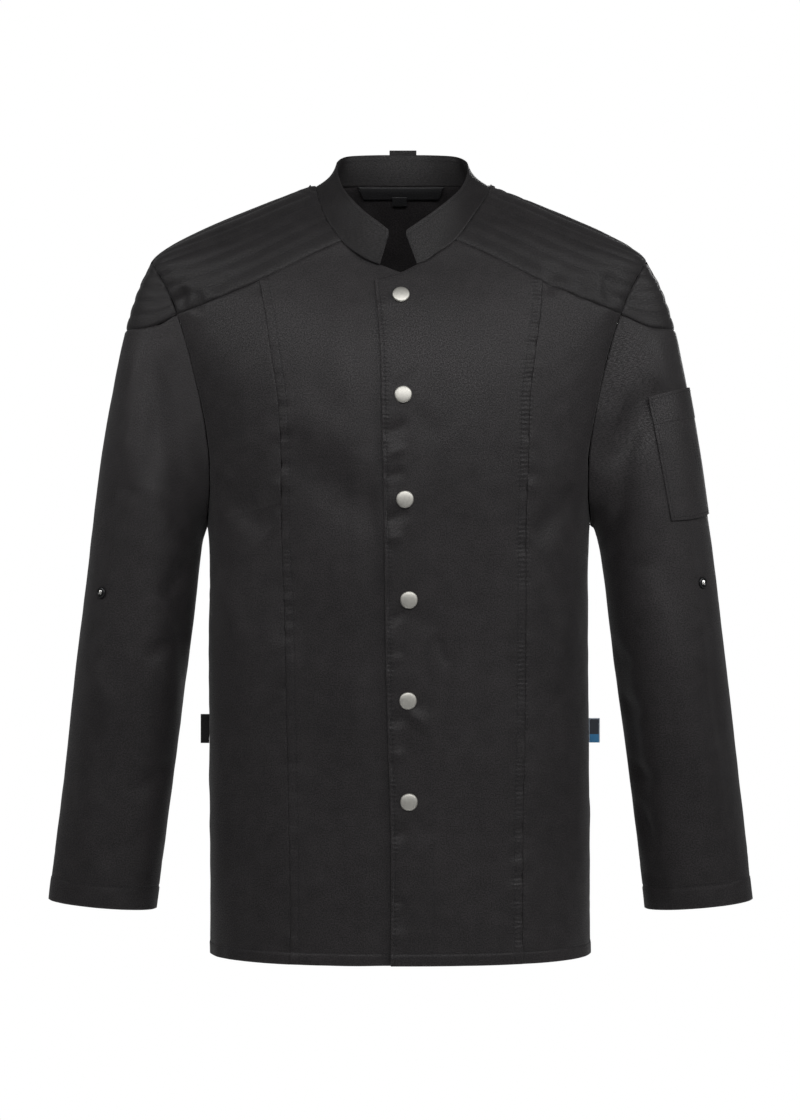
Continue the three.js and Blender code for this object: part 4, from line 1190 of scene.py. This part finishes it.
def thread_material(name, base):
    material, tree, shader = new_material(name)
    twist = noise(tree, 1800.0, 2.0)
    shade = between(tree, twist, 0.7, 1.4)
    tint = add_node(tree, "ShaderNodeVectorMath", {0: base, "Scale": shade}, operation="SCALE")
    tree.links.new(tint.outputs["Vector"], shader.inputs["Base Color"])
    tree.links.new(between(tree, twist, 0.5, 0.75), shader.inputs["Roughness"])
    shader.inputs["Specular IOR Level"].default_value = 0.15
    shader.inputs["Sheen Weight"].default_value = 0.05
    bump = add_node(tree, "ShaderNodeBump", {"Strength": 0.4, "Distance": 0.0001, "Height": twist})
    tree.links.new(bump.outputs["Normal"], shader.inputs["Normal"])
    return material


def floor_material():
    material, tree, shader = new_material("floor")
    shade = between(tree, noise(tree, 2.0), 0.86, 0.9)
    tint = add_node(tree, "ShaderNodeVectorMath", {0: (1.0, 1.0, 1.0), "Scale": shade}, operation="SCALE")
    tree.links.new(tint.outputs["Vector"], shader.inputs["Base Color"])
    shader.inputs["Roughness"].default_value = 0.9
    return material


# The jacket


class Tailor:
    """Makes each piece of cloth in its material, with its stitches, in place of its imported solid."""

    def __init__(self):
        self.twill = cloth_material("black_twill", (0.0058, 0.0051, 0.0055), (0.0228, 0.0203, 0.0214))
        # The quilted twill is the body's twill made darker: painted shade for the less lit shoulders and
        # sleeve heads.
        self.quilted_shaded = cloth_material("quilted_twill_shaded", (0.004, 0.0035, 0.0038), (0.0155, 0.0138, 0.0146))
        satin = ((0.004, 0.004, 0.0045), (0.012, 0.012, 0.013))
        self.satin = cloth_material("label_satin", *satin, twill=0.35, bump=0.25, sheen=0.1)
        # The collar's twill is the body's twill made darker: painted shade on the collar.
        facing = ((0.0035, 0.0031, 0.0033), (0.0138, 0.0123, 0.013))
        self.facing = cloth_material("collar_twill_shaded", *facing, sheen=0.03)
        self.thread = thread_material("black_thread", (0.011, 0.011, 0.012))

    def make(self, name, node, slot, grid, material, rests_on, lines=(), held="hung", **shell):
        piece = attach(add_cloth(name, grid, material, **shell), "root")
        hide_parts(*([node] if node else []))
        stitches = [add_stitches(name + "_stitches", lines, self.thread)] if lines else []
        width, length = grid.flat_size()
        area = min(grid.area(), width * length)
        width = max(width, NARROWEST_CUT)
        return piece


def inner_edge(side):
    """The edge of a panel that is nearer the wearer's middle, as seen from the front."""
    return "left" if side > 0 else "right"


def outer_edge(side):
    return "right" if side > 0 else "left"


def make_side_fronts(tailor):
    for side, word in ((-1, "left"), (1, "right")):
        grid = side_front_grid(side)
        drape(grid, 20 + side)
        seam, outside = inner_edge(side), outer_edge(side)
        press_edge(grid, seam, 0.4)
        press_edge(grid, outside)
        press_edge(grid, "top")
        ladder(grid, seam, 0, 3, 0.4 + 0.2 * side)
        pucker_edge(grid, seam, 31 + side, depth=0.5, scale=10.0, reach=10.0)
        pucker_edge(grid, outside, 41 + side, depth=0.5, scale=16.0, reach=12.0)
        pucker_edge(grid, "top", 51 + side, depth=0.3, scale=9.0, reach=7.0)
        hem(grid, "bottom", HEM_LINE, 61 + side)
        tailor.make(
            f"side_front_{word}", f"front_{word}_side", "cloth", grid, tailor.twill,
            [f"yoke_{word}", "back"], [grid.line("bottom", HEM_LINE)],
            bulge={"bottom": 0.5, seam: SEAM_MEETS, outside: ARMHOLE_OVERLAP, "top": SEAM_MEETS},
        )


def make_centre_fronts(tailor):
    right = right_centre_grid()
    drape(right, 71)
    press_edge(right, "right", 0.4)
    ladder(right, "right", 5, 5)
    ladder(right, "left", 3, 3.5, 0.8)
    press_edge(right, "top")
    sink_line(right, "right", PRINCESS_LINE, 0.3)
    pucker_edge(right, "right", 72, depth=0.8, scale=9.0, reach=11.0)
    low = ease((-400 - right.points[..., 2]) / 120)
    strong = 0.8 * soft_noise(right.bottom, right.right * 0.4, 13.0, 73)
    right.height += low * strong * np.exp(-(((right.right - 6) / 9) ** 2))
    pucker_edge(right, "left", 74, depth=0.9, scale=16.0, reach=12.0)
    pucker_edge(right, "left", 75, depth=0.5, scale=7.0, reach=5.0)
    sink_line(right, "left", PLACKET_TOPSTITCH, 0.35, 0.8)
    thicken(right, "left", PLACKET_LINE, 0.3)
    hem(right, "bottom", HEM_LINE, 76)
    paint_edge_wear_and_highlight(right, "left", 0.25)
    lines = [
        right.line("bottom", HEM_LINE),
        right.line("left", PLACKET_TOPSTITCH),
        right.line("left", PLACKET_LINE, 0, 0.7),
        right.line("right", PRINCESS_LINE),
        right.line("top", 4, 0, 0.32),
    ]
    tailor.make(
        "centre_front_right", "front_right_centre", "cloth", right, tailor.twill,
        ["yoke_right", "centre_front_left"], lines,
        bulge={"left": 0.7, "bottom": 0.5, "right": SEAM_MEETS, "top": SEAM_MEETS},
    )

    left = left_centre_grid()
    drape(left, 81)
    press_edge(left, "left", 0.4)
    ladder(left, "left", 5, 5, 0.35)
    press_edge(left, "top")
    sink_line(left, "left", PRINCESS_LINE, 0.3)
    pucker_edge(left, "left", 82, depth=0.7, scale=9.0, reach=11.0)
    hem(left, "bottom", HEM_LINE, 83)
    left.height *= 1 - ease((left.points[..., 0] - placket_edge(left.points[..., 2]) + 14) / 12)
    lines = [left.line("bottom", HEM_LINE), left.line("left", PRINCESS_LINE)]
    tailor.make(
        "centre_front_left", "front_left_centre", "cloth", left, tailor.twill, ["yoke_left"],
        lines, bulge={"bottom": 0.4, "left": SEAM_MEETS, "top": SEAM_MEETS},
    )


def make_back(tailor):
    grid = back_grid()
    drape(grid, 91)
    for edge in ("left", "right", "top"):
        press_edge(grid, edge)
        pucker_edge(grid, edge, 92, depth=0.4, scale=13.0)
    hem(grid, "bottom", HEM_LINE, 93)
    tailor.make(
        "back_panel", "back", "cloth", grid, tailor.twill, ["yoke_left", "yoke_right"],
        [grid.line("bottom", HEM_LINE)],
        bulge={"bottom": 0.5, "left": SEAM_MEETS, "right": SEAM_MEETS, "top": SEAM_MEETS},
    )


def make_yokes(tailor):
    for side, word in ((-1, "left"), (1, "right")):
        grid = yoke_grid(side)
        nearest = np.minimum(grid.bottom, grid.top)
        quilt(grid, nearest, depth=0.5)
        drape(grid, 101 + side)
        for edge in ("bottom", "top", "left", "right"):
            press_edge(grid, edge)
            pucker_edge(grid, edge, 105 + side, depth=0.3, scale=8.0, reach=6.0)
        rows = [grid.line(edge, 15.0 * k, 0.03, 0.97) for edge in ("bottom", "top") for k in range(1, 5)]
        tailor.make(
            f"shoulder_yoke_{word}", f"yoke_{word}", "quilted_cloth", grid, tailor.quilted_shaded,
            ["back_panel", f"side_front_{word}"], rows, held="draped",
            bulge=dict.fromkeys(("left", "right", "top", "bottom"), SEAM_MEETS),
        )


def make_sleeves(tailor):
    for side, word in ((-1, "left"), (1, "right")):
        grid = sleeve_grid(side)
        drape(grid, 111 + side)
        press_edge(grid, "top")
        pucker_edge(grid, "top", 115 + side, depth=0.35, scale=10.0, reach=8.0)
        hem(grid, "bottom", CUFF_LINE, 117 + side, 0.5)
        sink_line(grid, "bottom", CUFF_LINE, 0.45, 0.9)
        sink_line(grid, "bottom", CUFF_FOLD, 0.22, 2.0)
        lines = [grid.line("bottom", CUFF_LINE)]
        name = f"arm_sleeve_{word}"
        tailor.make(
            name, f"sleeve_{word}", "cloth", grid, tailor.twill,
            [f"sleeve_head_{word}", f"side_front_{word}"], lines,
            bulge={"bottom": 0.6, "top": ARMHOLE_OVERLAP},
        )
        cap = sleeve_cap_grid(side)
        quilt(cap, cap.bottom, depth=0.5)
        for edge in ("bottom", "top"):
            press_edge(cap, edge)
            pucker_edge(cap, edge, 121 + side, depth=0.3, scale=8.0, reach=6.0)
        rows = [cap.line("bottom", 15.0 * k, 0.05, 0.95) for k in range(1, 4)]
        tailor.make(
            f"sleeve_head_{word}", f"sleeve_cap_{word}", "quilted_cloth", cap, tailor.quilted_shaded,
            [name, f"shoulder_yoke_{word}"], rows, bulge={"top": SEAM_MEETS, "bottom": SEAM_MEETS},
        )


def make_collar(tailor):
    grid = collar_grid()
    drape(grid, 131)
    grid.height *= 0.6
    for edge in ("left", "right", "top"):
        sink_line(grid, edge, 4, 0.25)
        paint_edge_wear_and_highlight(grid, edge, 0.45)
    lines = [grid.line("top", 4), grid.line("left", 4, 0.1, 0.9), grid.line("right", 4, 0.1, 0.9)]
    tailor.make(
        "stand_collar", "collar", "cloth", grid, tailor.facing,
        ["shoulder_yoke_left", "shoulder_yoke_right", "back_panel"], lines,
        bulge={"left": 0.5, "right": 0.5, "top": 0.5, "bottom": SEAM_MEETS},
    )
    strap = loop_grid()
    tailor.make(
        "hanging_loop", "collar_loop", "cloth", strap, tailor.facing, ["stand_collar"],
        thickness=0.8, held="folded", bulge={"left": 0.2, "right": 0.2},
    )


def make_pocket(tailor):
    pocket = pocket_grid(POCKET_BAND, POCKET_BOTTOM, 1.9)
    band = pocket_grid(POCKET_TOP, POCKET_BAND, 2.5)
    for name, node, grid, thickness in (
        ("pen_pocket", "sleeve_pocket", pocket, 1.1),
        ("pen_pocket_band", "sleeve_pocket_band", band, 1.6),
    ):
        drape(grid, 141)
        grid.height *= 0.6
        sink_line(grid, "left", 3, 0.3)
        pucker_edge(grid, "left", 142, depth=0.3, scale=8.0, reach=6.0)
        paint_edge_wear_and_highlight(grid, "top", 0.2)
        lines = [grid.line("left", 3), grid.line("bottom" if grid is pocket else "top", 3)]
        if grid is pocket:
            lines += [grid.line("left", distance, *PEN_SLOT_SPAN) for distance in PEN_SLOT]
        tailor.make(
            name, node, "cloth", grid, tailor.twill, ["arm_sleeve_right"], lines,
            thickness=thickness, bulge={"left": 0.3, "top": 0.3, "bottom": 0.3},
        )


def inside_label(top, bottom, top_width, bottom_width, middle, depth):
    rows = np.linspace(0, 1, 8)
    columns = np.linspace(-0.5, 0.5, 48)
    z = lerp(bottom, top, rows[:, None])
    x = middle + columns[None, :] * lerp(bottom_width, top_width, rows[:, None])
    surface = body_point(x, z + 0 * x, "back")
    ahead = body_point(x + 1, z + 0 * x, "back") - surface
    above = body_point(x, z + 1 + 0 * x, "back") - surface
    inward = unit(np.cross(ahead, above))
    inward *= -np.sign(inward[..., 1:2])
    points = surface + inward * depth
    return Grid(points, points - inward * 20)


def make_labels(tailor):
    label = inside_label(9, -2, 89, 77, 0, 3.6)
    tailor.make("woven_label", "neck_label", "label", label, tailor.satin, ["back_panel"], thickness=0.7)
    tag = inside_label(1.2, -8, 15, 15, -1.5, 4.5)
    tailor.make("size_patch", "size_tag", "label", tag, tailor.satin, ["woven_label"], thickness=0.5)


def tag_material():
    """A satin tag: dark above, blue below, with a pale thin border."""
    material, tree, shader = new_material("tag_satin")
    flat = add_node(tree, "ShaderNodeUVMap", uv_map="cloth").outputs["UV"]
    up = add_node(tree, "ShaderNodeSeparateXYZ", {"Vector": flat}).outputs["Y"]
    side = add_node(tree, "ShaderNodeSeparateXYZ", {"Vector": flat}).outputs["X"]
    upper = math_node(tree, "GREATER_THAN", up, 8.4 * MM)
    from_middle = math_node(tree, "ABSOLUTE", math_node(tree, "SUBTRACT", side, 5.5 * MM), 0.0)
    border = math_node(tree, "GREATER_THAN", from_middle, 4.7 * MM)
    top_border = math_node(tree, "GREATER_THAN", up, 23.5 * MM)
    line = math_node(tree, "MAXIMUM", border, top_border)
    grain = between(tree, noise(tree, 2200.0, 2.0, flat), 0.8, 1.2)
    base = add_node(tree, "ShaderNodeMix", {"Factor": upper}, data_type="RGBA")
    base.inputs["A"].default_value = (0.025, 0.16, 0.33, 1)
    base.inputs["B"].default_value = (0.02, 0.024, 0.035, 1)
    edged = add_node(tree, "ShaderNodeMix", {"Factor": line}, data_type="RGBA")
    tree.links.new(base.outputs["Result"], edged.inputs["A"])
    edged.inputs["B"].default_value = (0.35, 0.4, 0.46, 1)
    shaded = {0: edged.outputs["Result"], "Scale": grain}
    tint = add_node(tree, "ShaderNodeVectorMath", shaded, operation="SCALE")
    tree.links.new(tint.outputs["Vector"], shader.inputs["Base Color"])
    tree.links.new(between(tree, grain, 0.4, 0.6), shader.inputs["Roughness"])
    ribs = waves(tree, flat, ONE_WAVE / (0.35 * MM), 0.2)
    bump = add_node(tree, "ShaderNodeBump", {"Strength": 0.3, "Distance": 0.0001, "Height": ribs})
    tree.links.new(bump.outputs["Normal"], shader.inputs["Normal"])
    return material


def make_side_tags(tailor):
    for node, slot, material in (
        ("side_tag_left", "label", tailor.satin),
        ("side_tag_right", "side_tag", tag_material()),
    ):
        low, high = (np.array(corner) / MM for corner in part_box(node))
        x = np.linspace(low[0], high[0], 14)[None, :]
        z = np.linspace(low[2], high[2], 28)[:, None]
        curl = 0.4 * np.sin((z - low[2]) / 9.0) * (x - low[0]) / (high[0] - low[0])
        points = points_of(x, -0.4 + curl, z)
        grid = Grid(points, points + (0, 10, 0))
        tailor.make(node + "_cloth", node, slot, grid, material, ["back_panel"], thickness=0.8)


def seat_of(patch):
    """The place and direction of a small metal piece on a surface given as two steps from a point."""
    start, right, up = patch(0, 0), patch(1, 0), patch(0, 1)
    return start, unit(np.cross(right - start, up - start))


def make_snaps():
    metal = metal_material("antique_silver", (0.42, 0.41, 0.38), (0.44, 0.6))
    dome = [(8.4 * math.cos(t), 1.3 + 1.4 * math.sin(t) ** 1.1) for t in np.linspace(0.28, 1.45, 12)]
    profile = [(0, 0), (7.9, 0), (8.3, 0.15), (8.5, 0.5), (8.45, 0.9), (8.25, 1.3), (7.9, 1.6)]
    profile += [(radius * 0.975, height + 0.15) for radius, height in dome] + [(0, dome[-1][1] + 0.17)]
    for number, (x, z) in enumerate(SNAPS, 1):

        def patch(u, v):
            return body_point(np.array(x + 20.0 * u), np.array(z + 20.0 * v), "front")

        place, normal = seat_of(patch)
        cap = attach(add_turned(f"snap_cap_{number}", profile, place + normal * 0.35, normal, metal), "root")
        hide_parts(f"snap_{number}")


def make_studs():
    lacquer = metal_material("black_lacquer", (0.03, 0.03, 0.031), (0.3, 0.5))
    wire = metal_material("spring_wire", (0.9, 0.89, 0.86), (0.3, 0.45))
    profile = [(0, 0), (5.3, 0), (5.6, 0.3), (5.6, 1.0), (5.2, 1.6), (4.5, 2.1), (3.6, 2.25), (3.0, 2.15)]
    profile += [(2.75, 1.9), (2.6, 1.5), (2.55, 0.95), (2.2, 0.8), (0, 0.8)]
    for side, ring, angle, seat, word in ((-1, 6.1, 52, 0.3, "left"), (1, 5.95, 48, 0, "right")):
        place, normal = seat_of(lambda u, v: sleeve_point(side, ring + 1.0 * v, angle + side * 1.0 * u))
        normal = normal * np.sign(-normal[1])
        place = place + normal * (seat + 0.2)
        name = f"roll_up_stud_{word}"
        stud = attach(add_turned(name, profile, place, normal, lacquer), "root")
        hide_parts(f"sleeve_stud_{word}")
        across = unit(np.cross(normal, (0.2, 0, 1.0)))
        along = np.cross(across, normal)
        for number, shift in enumerate((-1.05, 1.05), 1):
            rod = [(0, -2.3), (0.5, -2.2), (0.75, -1.8), (0.75, 1.8), (0.5, 2.2), (0, 2.3)]
            spot = place + across * shift + normal * 1.35
            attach(add_turned(f"{name}_spring_{number}", rod, spot, along, wire, 12), "root")


# The stage


SENSOR_WIDTH = 36
PICTURE_HEIGHT = 1120
CAMERA_DISTANCE = 3000


def add_camera():
    data = bpy.data.cameras.new("camera")
    data.sensor_width = SENSOR_WIDTH
    data.lens = SENSOR_WIDTH * CAMERA_DISTANCE / PICTURE_HEIGHT
    camera = bpy.data.objects.new("camera", data)
    camera.location = (-0.001, -CAMERA_DISTANCE * MM, -0.370)
    camera.rotation_euler = (math.radians(90), 0, 0)
    bpy.context.scene.collection.objects.link(camera)
    bpy.context.scene.camera = camera


def add_area_light(name, place, target, width, height, power):
    data = bpy.data.lights.new(name, "AREA")
    data.shape = "RECTANGLE"
    data.size = width
    data.size_y = height
    data.energy = power
    light = bpy.data.objects.new(name, data)
    light.location = place
    light.visible_camera = False
    light.rotation_euler = (Vector(target) - Vector(place)).to_track_quat("-Z", "Y").to_euler()
    bpy.context.scene.collection.objects.link(light)


# How much of the white surroundings lights the cloth
AMBIENT = 0.12
FLOOR_RADIUS = 2500
FLOOR_Z = -1450


def add_stage():
    turn = np.linspace(0, 2 * np.pi, 96, endpoint=False)
    rim = points_of(FLOOR_RADIUS * np.cos(turn), FLOOR_RADIUS * np.sin(turn), FLOOR_Z)
    floor = add_mesh("floor", rim, [range(96)], floor_material())
    add_area_light("key", (0.12, -1.9, 0.95), (0, 0, -0.2), 2.6, 0.5, 43)
    add_area_light("fill", (1.5, -1.9, -0.2), (0, 0, -0.35), 1.0, 1.4, 3)
    add_area_light("side_left", (-1.9, -0.9, 0.95), (-0.15, 0, -0.2), 0.8, 0.5, 18)
    add_area_light("side_right", (1.9, -0.9, 0.95), (0.15, 0, -0.2), 0.8, 0.5, 21)
    add_area_light("back", (0.4, 2.4, 0.3), (0, 0, -0.3), 1.6, 1.2, 22)
    world = bpy.data.worlds.new("studio")
    world.use_nodes = True
    tree = world.node_tree
    seen = add_node(tree, "ShaderNodeLightPath").outputs["Is Camera Ray"]
    tree.nodes["Background"].inputs["Color"].default_value = (1, 1, 1, 1)
    tree.links.new(between(tree, seen, AMBIENT, 1.0), tree.nodes["Background"].inputs["Strength"])
    bpy.context.scene.world = world
    bpy.context.scene.view_settings.view_transform = "Standard"


def main():
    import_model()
    add_camera()
    tailor = Tailor()
    make_side_fronts(tailor)
    make_centre_fronts(tailor)
    make_back(tailor)
    make_yokes(tailor)
    make_sleeves(tailor)
    make_collar(tailor)
    make_pocket(tailor)
    make_labels(tailor)
    make_side_tags(tailor)
    make_snaps()
    make_studs()
    add_stage()


main()
